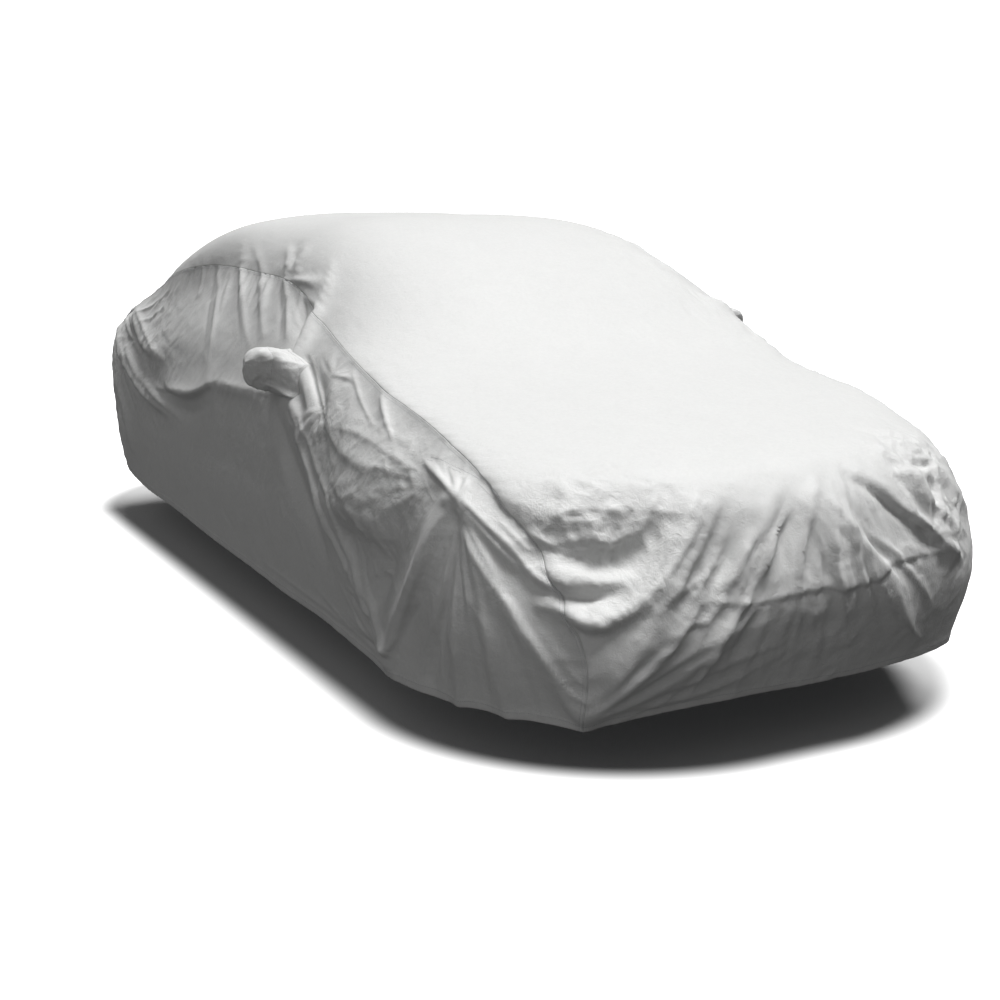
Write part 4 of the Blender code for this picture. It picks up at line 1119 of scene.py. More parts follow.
def deck_stations() -> np.ndarray:
    """Return the top panel's stations, closest at the front lip."""
    fine = np.linspace(0, 1, 2001)
    density = 0.45 + 1.1 * np.exp(-(fine / 0.22) ** 2) + 0.5 * np.exp(-((1 - fine) / 0.18) ** 2)
    total = np.concatenate([[0], np.cumsum((density[1:] + density[:-1]) / 2)])
    return np.interp(np.linspace(0, total[-1], DECK_ROWS + 1), total, fine)


class Cover:
    """The whole cover: its three panels' grids, raised together."""

    def __init__(self) -> None:
        """Make the plain form of the three panels."""
        self.relief = Relief()
        stations, levels, hole = flank_places()
        sewn = (np.s_[0, :], np.s_[:, 0], np.s_[:, -1])
        self.sides = {hand: Sheet("side_panel_" + hand.word + "_cloth",
                                  side_surface(hand, stations, levels),
                                  seam_places(levels, stations, levels), sewn,
                                  1 - levels ** 4, hole)
                      for hand in Hand}
        self.top = self.plain_top()

    def plain_top(self) -> Sheet:
        """Return the top panel's sheet, from the front to the rear hem."""
        stations = deck_stations()
        front = face_levels(FACE_ROWS)
        tail = face_levels(TAIL_ROWS)
        blocks = []
        for levels, profile, end in ((front, FRONT_FACE, 0.0), (tail, REAR_FACE, 1.0)):
            station = np.array([end])
            edges = [side_surface(hand, station, levels)[:, 0] for hand in Hand]
            spine = smooth_through([(0.0, *point) for point in profile], LEVELS, levels)
            boxiness = section_lines(SECTIONS, station)["boxiness"]
            full = np.ones(len(levels))
            blocks.append(cross_rows(*edges, spine, full * boxiness[0], full * 0))
        lines = section_lines(SECTIONS, stations)
        edges = [side_surface(hand, stations, np.array([0.0]))[0] for hand in Hand]
        share = np.interp(stations, SHOULDER_STATIONS, (0, 1, 1, 0))
        cut = math.radians(SHOULDER_CUT) * share * share * (3 - 2 * share)
        deck = cross_rows(*edges, lines["centre"], lines["boxiness"], cut)
        points = np.concatenate([blocks[0][:0:-1], deck, blocks[1][1:]])
        self.round_lips(points, (len(front) - 1, len(front) - 1 + DECK_ROWS))
        hang = np.concatenate([1 - front[:0:-1] ** 4, np.ones(len(stations)), 1 - tail[1:] ** 4])
        return Sheet("top_panel_cloth", points, seam_places(front, stations, tail),
                     (np.s_[:, 0], np.s_[:, -1]), hang)

    @staticmethod
    def round_lips(points: np.ndarray, lips: tuple) -> None:
        """Round the top's two lips, where a face meets the deck.

        Args:
            points: the top's grid of points, which is changed.
            lips: the rows of the two lips.
        """
        down, *ends = ways_in(points)
        share = np.zeros(points.shape[:2])
        for lip in lips:
            share += np.exp(-((down - down[lip]) / LIP_REACH) ** 2)
        share = np.clip(share, 0, 1) * (1 - np.exp(-(np.minimum(*ends) / LIP_REACH) ** 2))
        gap_before = (down[1:-1] - down[:-2])[..., None]
        gap_after = (down[2:] - down[1:-1])[..., None]
        for _ in range(LIP_ROUNDS):
            between = ((points[:-2] * gap_after + points[2:] * gap_before)
                       / (gap_before + gap_after))
            points[1:-1] += (between - points[1:-1]) * share[1:-1, :, None] * 0.5

    def sheets(self) -> list:
        """Return the three sheets, top first."""
        return [self.top, *self.sides.values()]

    def find_normals(self, rounds: int) -> None:
        """Set every sheet's smoothed normals, which agree along the seams."""
        for sheet in self.sheets():
            sheet.normals = grid_normals(sheet.points)
        for hand, column in ((Hand.RIGHT, 0), (Hand.LEFT, -1)):
            side = self.sides[hand]
            grid = side.normals
            along_side = round_side(grid)
            along_top = self.top.normals[:, column].copy()
            self.top.normals[:, column] = unit(
                along_top + read_along(self.top.border, side.border, along_side))
            shared = unit(along_side + read_along(side.border, self.top.border, along_top))
            down = len(grid) - 1
            grid[:0:-1, 0] = shared[:down]
            grid[0] = shared[down:-down]
            grid[1:, -1] = shared[-down:]
        for sheet in self.sheets():
            sheet.normals = smoothed(sheet.normals, sheet.sewn, rounds)

    def measure(self) -> None:
        """Set every sheet's distances from its seams and its hem."""
        for sheet in self.sheets():
            down, *ends = ways_in(sheet.points)
            inwards = np.minimum(*ends)
            upwards = down[-1:] - down
            is_top = sheet is self.top
            sheet.seam_distance = inwards if is_top else np.minimum(down, inwards)
            sheet.hem_distance = np.minimum(down, upwards) if is_top else upwards

    def nearest_border(self, sheet: Sheet) -> np.ndarray:
        """Return the seam's parameter at the sewn edge nearest to each point."""
        rows, cells = sheet.points.shape[:2]
        if sheet is self.top:
            return np.repeat(sheet.border[:, None], cells, axis=1)
        front = np.repeat(sheet.border[:rows][::-1][:, None], cells, axis=1)
        rear = np.repeat(sheet.border[-rows:][:, None], cells, axis=1)
        seam = np.repeat(sheet.border[None, rows - 1:rows - 1 + cells], rows, axis=0)
        return np.choose(np.argmin(ways_in(sheet.points), axis=0), [seam, front, rear])

    def seam_puckers(self, sheet: Sheet) -> np.ndarray:
        """Return the small puckers that the sewing draws across the seams."""
        place = self.nearest_border(sheet)
        side = np.sign(sheet.points[..., 0])
        metres = np.empty_like(place)
        for hand, panel in self.sides.items():
            lengths = travelled(round_side(panel.points)[:, None], 0)[:, 0]
            here = side == hand.value
            metres[here] = np.interp(place[here], panel.border, lengths)
        metres = metres.ravel()
        side = side.ravel()
        line = np.stack([metres / PUCKER_PITCH, side * 7.3, 0 * side], axis=1)
        slow = np.stack([metres / 0.21, side * 3.1, 0 * side], axis=1)
        reach = 0.030 + 0.040 * np.clip(lattice_noise(slow, 62) + 0.4, 0, 1.4)
        fade = np.exp(-(sheet.seam_distance.ravel() / reach) ** 2)
        return PUCKER_HEIGHT * lattice_noise(line, 61) * fade

    @staticmethod
    def tent(sheet: Sheet) -> np.ndarray:
        """Return how far a flank is drawn out round its pocket."""
        first, end, start, last = sheet.hole
        middle = sheet.points[(first + end) // 2, (start + last) // 2]
        distance = np.linalg.norm((sheet.points - middle)[..., 1:], axis=-1).ravel()
        return TENT_HEIGHT * np.exp(-(distance / TENT_REACH) ** 2)

    def lay(self, folds: list) -> list:
        """Return the folds with their paths laid on the cloth as it now is."""
        points = []
        faces = []
        for sheet in self.sheets():
            quads = grid_quads(*sheet.points.shape[:2], len(points))
            faces.extend(quads.reshape(-1, 4).tolist())
            points.extend(sheet.points.reshape(-1, 3).tolist())
        tree = BVHTree.FromPolygons(points, faces)
        return [replace(fold, path=self.laid_path(tree, fold.path)) for fold in folds]

    @staticmethod
    def laid_path(tree: BVHTree, path: tuple) -> tuple:
        """Return a path moved onto the cloth, along the view wherever it can be seen.

        Args:
            tree: the cloth.
            path: the path's points, near the cloth.

        Returns:
            The points on the cloth, or the old ones where fewer than two are left.
        """
        laid = []
        for point in path:
            point = Vector(point)
            hit = tree.ray_cast(VIEWPOINT, (point - VIEWPOINT).normalized())[0]
            if hit is None or (hit - point).length > LAY_REACH:
                hit = tree.find_nearest(point)[0]
            if not laid or (hit - laid[-1]).length > PATH_GAP:
                laid.append(hit)
        return tuple(map(tuple, laid)) if len(laid) > 1 else path

    def raise_folds(self, word: str, folds: tuple, rounds: int) -> None:
        """Raise one table's folds, and the cloth round the pockets with the first.

        Args:
            word: what they are, for the log.
            folds: the folds.
            rounds: how smooth the normals are made after them.
        """
        laid = self.lay(folds)
        for sheet in self.sheets():
            height = fold_relief(*sheet.flat(), laid)
            if folds is SWELLS and sheet.hole:
                height = height + self.tent(sheet)
            sheet.raise_by(height, DROOP)
        self.find_normals(rounds)
        log.info("%d %s raised", len(folds), word)

    def drape(self) -> None:
        """Raise every fold, crease, pucker and crumple in turn, and part the seams."""
        self.find_normals(40)
        self.raise_folds("broad swells", SWELLS, 20)
        for sheet in self.sheets():
            sheet.outwards = sheet.normals.copy()
        self.raise_folds("large folds", MAIN_FOLDS, 8)
        self.raise_folds("fine creases", self.relief.fine, 3)
        self.measure()
        for sheet in self.sheets():
            points, normals = sheet.flat()
            strength = self.relief.crumple_strength(points, normals)
            sheet.crumple = strength.reshape(sheet.points.shape[:2])
            height = strength * crushed(points) + self.seam_puckers(sheet)
            height += HEM_RISE * step_down(sheet.hem_distance.ravel(), HEM_BAND, 0.004)
            sheet.raise_by(height)
        self.find_normals(1)
        for sheet in self.sheets():
            for edge in sheet.sewn:
                step = unit(sheet.points[self.beside(edge)] - sheet.points[edge])
                sheet.points[edge] += step * SEAM_GAP / 2

    @staticmethod
    def beside(edge: tuple) -> tuple:
        """Return the index of the row of points next to an edge."""
        return tuple({0: 1, -1: -2}.get(item, item) if isinstance(item, int) else item
                     for item in edge)


# ---- pockets
@dataclass(frozen=True)
class Ring:
    """One ring of a mirror pocket, from its root to its tip."""

    reach: float
    roundness: float
    depth: float
    height: float


POCKET_RINGS = (
    Ring(0.0, 0.0, 0.07, 0.07),
    Ring(0.018, 0.1, 0.07, 0.07),
    Ring(0.045, 0.45, 0.07, 0.072),
    Ring(0.08, 0.85, 0.068, 0.073),
    Ring(0.115, 1.0, 0.064, 0.07),
    Ring(0.145, 1.0, 0.054, 0.058),
    Ring(0.164, 1.0, 0.032, 0.036),
    Ring(0.17, 1.0, 0.004, 0.004),
)


@dataclass
class MirrorPocket:
    """A cloth cup sewn into a side panel, with a seam round it."""

    hand: Hand
    boxiness: float = 2.8
    rings: int = 44
    seam_reach: float = 0.076   # how far out its own seam lies
    groove: float = 0.0030      # depth of that seam
    seam_gather: float = 0.0035
    root_gather: float = 0.0040
    crushing: float = 0.0030
    tuck: float = 0.02          # share by which its root is drawn in behind the panel

    @staticmethod
    def border(sheet: Sheet, points: np.ndarray) -> np.ndarray:
        """Return the points round the panel's hole, as the part orders them."""
        return np.array([points[place] for place in ring_round(*sheet.hole)])

    def skin(self, hole: np.ndarray, inset: float) -> np.ndarray:
        """Return the pocket's rings of points, root first.

        Args:
            hole: the points round the hole that the pocket is sewn into.
            inset: how far inside the pocket's true outside the rings lie.

        Returns:
            An array [ring, place round the pocket].
        """
        centre = hole.mean(axis=0)
        outwards = np.array([np.sign(centre[0]), 0.0, 0.0])
        spokes = hole - centre
        narrowest = min(np.ptp(spokes[:, 1]), np.ptp(spokes[:, 2])) / 2
        spokes = spokes * (1 - (inset + SEAM_GAP) / narrowest)
        angles = np.arctan2(spokes[:, 2], spokes[:, 1])
        across, upwards = (np.sign(turned) * np.abs(turned) ** (2 / self.boxiness)
                           for turned in (np.cos(angles), np.sin(angles)))
        below = (1 - upwards) / 2
        drawn_in = 1 - np.where(across < 0, UNDERCUT, UNDERCUT / 2) * below
        table = np.array([astuple(ring) for ring in POCKET_RINGS])
        reaches = crowded(np.linspace(0, 1, self.rings + 1))
        layers = []
        for ring in smooth_through(table, chord_knots(table[:, [0, 2]]), reaches):
            reach, roundness, depth, height = ring
            roundness = min(max(roundness, 0), 1)
            box = np.stack([np.zeros_like(angles), across * drawn_in * max(depth - inset, 0.002),
                            upwards * max(height - inset, 0.002)], axis=1)
            outline = spokes + (box - spokes) * roundness
            reach *= 1 - TENT_HEIGHT / POCKET_RINGS[-1].reach
            lift = np.array([0.0, 0.0, POCKET_LIFT * roundness])
            layers.append(centre + outwards * (reach - inset) + outline + lift)
        return np.array(layers)

    def creased(self, rings: np.ndarray) -> np.ndarray:
        """Return the rings with their seam, gathers and crumples."""
        root = rings[0].mean(axis=0)
        out = (rings[..., 0] - root[0]) * self.hand.value
        away = rings - (root + np.stack([rings[..., 0] - root[0], 0 * out, 0 * out], axis=-1))
        tip_share = np.clip(out - 0.13, 0, 1)[..., None]
        facing = unit(away + np.array([self.hand.value, 0, 0]) * tip_share)
        turn = np.arctan2(rings[..., 2] - root[2], rings[..., 1] - root[1])
        circle = np.stack([np.cos(turn) * 3.4, np.sin(turn) * 3.4, 0 * turn], axis=-1)
        gather = lattice_noise(circle.reshape(-1, 3) * 1.5, 71).reshape(out.shape)
        from_seam = out - self.seam_reach
        height = self.crushing * crushed(rings.reshape(-1, 3) * 1.6).reshape(out.shape)
        height += self.seam_gather * gather * np.exp(-(from_seam / 0.022) ** 2)
        height -= self.groove * np.exp(-(from_seam / 0.004) ** 2)
        height += self.root_gather * gather * np.exp(-(out / 0.03) ** 2)
        return rings + facing * (height * np.clip(out / 0.02, 0, 1))[..., None]

    def build(self, sheet: Sheet, skins: tuple) -> Object:
        """Return the pocket as a closed cup that fills the panel's hole.

        Args:
            sheet: the side panel.
            skins: the materials of its outer and inner skin.

        Returns:
            The pocket's object.
        """
        hole = self.border(sheet, sheet.points)
        inside = self.border(sheet, sheet.inner_points())
        skin = self.creased(self.skin(hole, 0.0))
        lining = self.creased(self.skin(hole, CLOTH))[1:]
        root = inside + (hole.mean(axis=0) - hole) * self.tuck
        behind = (root + (skin[0] - root) * self.tuck
                  + (root.mean(axis=0) - root) * self.tuck)
        layers = np.concatenate([[root], skin, lining[::-1], [behind]])
        count, around = layers.shape[:2]
        tip = len(skin)
        number = np.arange(count * around).reshape(count, around)
        after = np.roll(number, -1, axis=1)
        quads = np.stack([number, after, np.roll(after, -1, axis=0),
                          np.roll(number, -1, axis=0)], axis=-1)
        faces = np.delete(quads, tip, axis=0).reshape(-1, 4).tolist()
        faces += [number[tip].tolist(), number[tip + 1, ::-1].tolist()]
        slots = [0] * (tip * around) + [1] * ((count - tip - 1) * around) + [0, 1]
        mesh = cloth_mesh("mirror_pocket_" + self.hand.word + "_cloth",
                          layers.reshape(-1, 3), faces, slots, skins)
        shape = bmesh.new()
        shape.from_mesh(mesh)
        bmesh.ops.recalc_face_normals(shape, faces=shape.faces)
        shape.to_mesh(mesh)
        shape.free()
        down, along, _ = ways_in(layers)
        out = np.abs(layers[..., 0] - hole.mean(axis=0)[0])
        seam = np.minimum(np.abs(out - self.seam_reach), out)
        write_layers(mesh, np.stack([along.ravel(), down.ravel()], axis=1),
                     {"seam_distance": seam, "hem_distance": np.ones_like(seam),
                      "crumple": np.full_like(seam, self.crushing)})
        return add_object(mesh.name, mesh)

    def stitch_lines(self, sheet: Sheet) -> list:
        """Return the rings of points that the pocket's sewing follows."""
        rings = self.creased(self.skin(self.border(sheet, sheet.points), 0.0))
        out = np.abs(rings[:, :, 0].mean(axis=1) - rings[0, :, 0].mean())
        lines = []
        for reach in (self.seam_reach + 0.004, 0.012):
            ring = rings[int(np.argmin(abs(out - reach)))]
            lines.append(ring + unit(ring - ring.mean(axis=0)) * THREAD_LIFT)
        return lines


# ---- nodes
def feed(made: Node, inputs: dict) -> Node:
    """Return a node after giving its inputs their values or links.

    Args:
        made: the node.
        inputs: a value, or another node's output, by an input's name or number.

    Returns:
        The same node.
    """
    for name, value in inputs.items():
        if isinstance(value, NodeSocket):
            made.id_data.links.new(value, made.inputs[name])
        else:
            made.inputs[name].default_value = value
    return made


def node(tree: NodeTree, kind: str, inputs: dict = None, **settings: object) -> Node:
    """Return a new node of a tree.

    Args:
        tree: the tree.
        kind: the node's type.
        inputs: what its inputs are fed with.
        settings: its own settings by name, which are set first.

    Returns:
        The node.
    """
    made = tree.nodes.new(kind)
    made.location = (200 * len(tree.nodes), 0)
    for name, value in settings.items():
        setattr(made, name, value)
    return feed(made, inputs or {})


def math_node(tree: NodeTree, operation: str, *values: object) -> NodeSocket:
    """Return the output of a math node fed with sockets or numbers."""
    return node(tree, "ShaderNodeMath", dict(enumerate(values)), operation=operation).outputs[0]


def new_group(name: str, kind: str, inputs: dict, outputs: dict) -> tuple:
    """Return a new node group and what it is given.

    Args:
        name: the group's name.
        kind: the type of its tree.
        inputs: each input's kind of socket, by its name.
        outputs: each output's kind of socket, by its name.

    Returns:
        The group's tree, and the sockets that its inputs arrive at.
    """
    tree = bpy.data.node_groups.new(name, kind)
    for way, sockets in (("INPUT", inputs), ("OUTPUT", outputs)):
        for socket, sort in sockets.items():
            tree.interface.new_socket(socket, in_out=way, socket_type="NodeSocket" + sort)
    return tree, node(tree, "NodeGroupInput").outputs


# ---- sewing
@dataclass
class Sewing:
    """Thread along lines on the cloth, one small stitch after another."""

    thread: Material
    pitch: float = 0.0062
    length: float = 0.0046
    radius: float = 0.0006
    tree: NodeTree = None

    @staticmethod
    def make_tree() -> NodeTree:
        """Return the Geometry Nodes tree that lays stitches along lines."""
        tree, given = new_group("stitches", "GeometryNodeTree",
                                {"Lines": "Geometry", "Pitch": "Float", "Length": "Float",
                                 "Radius": "Float", "Thread": "Material"},
                                {"Stitches": "Geometry"})
        curve = node(tree, "GeometryNodeMeshToCurve", {"Mesh": given["Lines"]})
        places = node(tree, "GeometryNodeCurveToPoints",
                      {"Curve": curve.outputs["Curve"], "Length": given["Pitch"]}, mode="LENGTH")
        bead = node(tree, "GeometryNodeMeshIcoSphere", {"Radius": 1.0, "Subdivisions": 1})
        half = math_node(tree, "MULTIPLY", given["Length"], 0.5)
        size = node(tree, "ShaderNodeCombineXYZ",
                    {"X": given["Radius"], "Y": given["Radius"], "Z": half})
        varied = node(tree, "FunctionNodeRandomValue", {2: 0.88, 3: 1.08, "Seed": 5},
                      data_type="FLOAT")
        scaled = node(tree, "ShaderNodeVectorMath",
                      {0: size.outputs[0], "Scale": varied.outputs[1]}, operation="SCALE")
        laid = node(tree, "GeometryNodeInstanceOnPoints",
                    {"Points": places.outputs["Points"], "Instance": bead.outputs["Mesh"],
                     "Rotation": places.outputs["Rotation"], "Scale": scaled.outputs[0]})
        real = node(tree, "GeometryNodeRealizeInstances", {"Geometry": laid.outputs["Instances"]})
        smooth = node(tree, "GeometryNodeSetShadeSmooth", {"Geometry": real.outputs["Geometry"]})
        dressed = node(tree, "GeometryNodeSetMaterial",
                       {"Geometry": smooth.outputs["Geometry"], "Material": given["Thread"]})
        node(tree, "NodeGroupOutput", {"Stitches": dressed.outputs["Geometry"]})
        return tree

    def sew(self, name: str, lines: list, closed: bool = False) -> Object:
        """Return one piece with the stitches of several lines.

        Args:
            name: the piece's name.
            lines: each line's points.
            closed: whether the lines close on themselves.

        Returns:
            The stitches as a plain mesh object.
        """
        if self.tree is None:
            self.tree = self.make_tree()
        points = []
        edges = []
        for line in lines:
            numbers = list(range(len(points), len(points) + len(line)))
            points.extend((np.asarray(line) - ORIGIN).tolist())
            edges.extend(zip(numbers, numbers[1:] + numbers[:1] if closed else numbers[1:]))
        guide_mesh = bpy.data.meshes.new(name + "_guide")
        guide_mesh.from_pydata(points, edges, [])
        guide = add_object(name + "_guide", guide_mesh)
        modifier = guide.modifiers.new("stitches", "NODES")
        modifier.node_group = self.tree
        values = {"Pitch": self.pitch, "Length": self.length, "Radius": self.radius,
                  "Thread": self.thread}
        for item in self.tree.interface.items_tree:
            if item.item_type == "SOCKET" and item.name in values:
                modifier[item.identifier] = values[item.name]
        bpy.context.view_layer.update()
        graph = bpy.context.evaluated_depsgraph_get()
        mesh = bpy.data.meshes.new_from_object(guide.evaluated_get(graph))
        mesh.name = name
        bpy.data.objects.remove(guide)
        return add_object(name, mesh)


def line_at(sheet: Sheet, edge: str, distance: float) -> np.ndarray:
    """Return a line on a sheet at a distance from one of its edges.

    Args:
        sheet: the sheet.
        edge: seam, front, rear, hem, front hem or rear hem.
        distance: how far in from the edge the line lies.

    Returns:
        The line's points, just proud of the cloth.
    """
    points = sheet.points + sheet.normals * THREAD_LIFT
    if edge in ("front", "rear"):
        points = points.transpose(1, 0, 2)
    if edge in ("rear", "hem", "rear hem"):
        points = points[::-1]
    near = points[:24]
    along = travelled(near, 0)
    return np.array([read_along(distance, along[:, column], near[:, column])
                     for column in range(near.shape[1])])


# ---- finishes
def weave_group() -> NodeTree:
    """Return the plain weave, from a place in metres and the threads' pitch."""
    tree, given = new_group("plain_weave", "ShaderNodeTree", {"Place": "Vector", "Pitch": "Float"},
                            {"Height": "Float", "Tint": "Float"})
    calc = partial(math_node, tree)
    parts = node(tree, "ShaderNodeSeparateXYZ", {0: given["Place"]})
    turns = calc("DIVIDE", math.pi, given["Pitch"])
    across, along = (calc("SINE", calc("MULTIPLY", parts.outputs[axis], turns))
                     for axis in (0, 1))
    crossing = calc("MULTIPLY", across, along)
    node(tree, "NodeGroupOutput", {"Height": calc("MULTIPLY_ADD", crossing, 0.5, 0.5),
                                   "Tint": calc("ABSOLUTE", crossing)})
    return tree


def crinkle_group() -> NodeTree:
    """Return small sharp creases as on stiff light cloth, from 0 to 1."""
    tree, given = new_group("crinkle", "ShaderNodeTree", {"Place": "Vector", "Scale": "Float"},
                            {"Height": "Float", "Cloud": "Float"})
    calc = partial(math_node, tree)
    noise = node(tree, "ShaderNodeTexNoise",
                 {"Vector": given["Place"], "Scale": given["Scale"], "Detail": 3.0,
                  "Roughness": 0.6, "Distortion": 0.8}).outputs[0]
    folded = calc("ABSOLUTE", calc("SUBTRACT", noise, 0.5))
    height = calc("SUBTRACT", 1.0, calc("MULTIPLY", folded, 3.0))
    node(tree, "NodeGroupOutput", {"Height": height, "Cloud": noise})
    return tree


def wear_group() -> NodeTree:
    """Return how strongly dust and rubbing show near a sewn edge, from 0 to 1."""
    tree, given = new_group("edge_wear", "ShaderNodeTree",
                            {"Distance": "Float", "Reach": "Float", "Cloud": "Float"},
                            {"Wear": "Float"})
    calc = partial(math_node, tree)
    share = calc("DIVIDE", given["Distance"], given["Reach"])
    fade = calc("EXPONENT", calc("MULTIPLY", share, -1.0))
    node(tree, "NodeGroupOutput", {"Wear": calc("MULTIPLY", fade, given["Cloud"])})
    return tree


def new_material(name: str, inputs: dict) -> tuple:
    """Return a new material with its tree and shader.

    Args:
        name: the material's name.
        inputs: the values of the shader's own sockets.

    Returns:
        The material, its node tree and its shader.
    """
    material = bpy.data.materials.new(name)
    material.use_nodes = True
    tree = material.node_tree
    return material, tree, feed(tree.nodes["Principled BSDF"], inputs)


@dataclass(frozen=True)
class ClothFinish:
    """Silver woven cloth, dull or with a soft sheen."""

    name: str
    colour: tuple = (0.66, 0.662, 0.655)
    shade: tuple = (0.50, 0.502, 0.498)
    roughness: float = 0.66
    metallic: float = 0.05
    sheen: float = 0.06
    weave: float = 0.00009
    pitch: float = 0.0016       # of the weave's threads
    crinkle: float = 0.0022
    groove: float = 0.0014      # depth of the groove along every sewn edge and hem
    groove_width: float = 0.0016
    wear_reach: float = 0.035

    def build(self, groups: dict) -> Material:
        """Return the material, made from the shared groups."""
        material, tree, shader = new_material(
            self.name, {"Metallic": self.metallic, "Sheen Weight": self.sheen,
                        "Sheen Roughness": 0.45})
        calc = partial(math_node, tree)
        place = node(tree, "ShaderNodeTexCoord").outputs["Object"]
        flat = node(tree, "ShaderNodeUVMap", uv_map="cloth_metres").outputs[0]
        seam, hem, crumple = (
            node(tree, "ShaderNodeAttribute", attribute_name=name).outputs["Fac"]
            for name in ("seam_distance", "hem_distance", "crumple"))
        nearest = calc("MINIMUM", seam, hem)
        weave = node(tree, "ShaderNodeGroup", {"Place": flat, "Pitch": self.pitch},
                     node_tree=groups["weave"]).outputs
        broad, middle, fine = (
            node(tree, "ShaderNodeGroup", {"Place": place, "Scale": scale},
                 node_tree=groups["crinkle"]).outputs
            for scale in (9.0, 27.0, 74.0))
        wear = node(tree, "ShaderNodeGroup",
                    {"Distance": nearest, "Reach": self.wear_reach,
                     "Cloud": broad["Cloud"]},
                    node_tree=groups["wear"]).outputs["Wear"]
        crushed_share = calc("MINIMUM", calc("MULTIPLY", crumple, 220.0), 1.0)
        height = calc("MULTIPLY", weave["Height"], self.weave)
        for crinkle, rise, everywhere in ((broad, self.crinkle, 0.0),
                                          (middle, self.crinkle * 0.50, 0.4),
                                          (fine, self.crinkle * 0.30, 0.75)):
            share = calc("MULTIPLY_ADD", crushed_share, 1 - everywhere, everywhere)
            part = calc("MULTIPLY", crinkle["Height"], calc("MULTIPLY", share, rise))
            height = calc("ADD", height, part)
        groove = calc("EXPONENT", calc("MULTIPLY", nearest, -1 / self.groove_width))
        height = calc("ADD", height, calc("MULTIPLY", groove, -self.groove))
        bump = node(tree, "ShaderNodeBump", {"Strength": 1.0, "Distance": 1.0, "Height": height})
        grain = calc("SUBTRACT", calc("MULTIPLY", fine["Cloud"], 0.45), 0.15)
        mottle = calc("ADD", calc("MULTIPLY", broad["Cloud"], 0.25), grain)
        amount = calc("ADD", mottle, calc("MULTIPLY", weave["Tint"], 0.12))
        amount = calc("ADD", amount, calc("MULTIPLY", wear, 0.5))
        cloudy = node(tree, "ShaderNodeMix", {"A": (*self.colour, 1), "B": (*self.shade, 1),
                                              "Factor": amount}, data_type="RGBA")
        rough = calc("MULTIPLY_ADD", fine["Cloud"], 0.16, self.roughness - 0.08)
        feed(shader, {"Base Color": cloudy.outputs["Result"], "Roughness": rough,
                      "Normal": bump.outputs[0]})
        return material


@dataclass(frozen=True)
class ThreadFinish:
    """Grey sewing thread with a light twist."""

    name: str = "seam_thread"
    colour: tuple = (0.42, 0.43, 0.45)
    shade: tuple = (0.30, 0.31, 0.33)
    roughness: float = 0.6

    def build(self) -> Material:
        """Return the thread's material."""
        material, tree, shader = new_material(self.name, {"Roughness": self.roughness})
        place = node(tree, "ShaderNodeTexCoord").outputs["Object"]
        twist = node(tree, "ShaderNodeTexWave", {"Scale": 420.0, "Vector": place},
                     bands_direction="DIAGONAL").outputs["Fac"]
        mix = node(tree, "ShaderNodeMix", {"A": (*self.colour, 1), "B": (*self.shade, 1),
                                           "Factor": twist}, data_type="RGBA")
        bump = node(tree, "ShaderNodeBump", {"Distance": 0.0002, "Height": twist})
        feed(shader, {"Base Color": mix.outputs["Result"], "Normal": bump.outputs[0]})
        return material


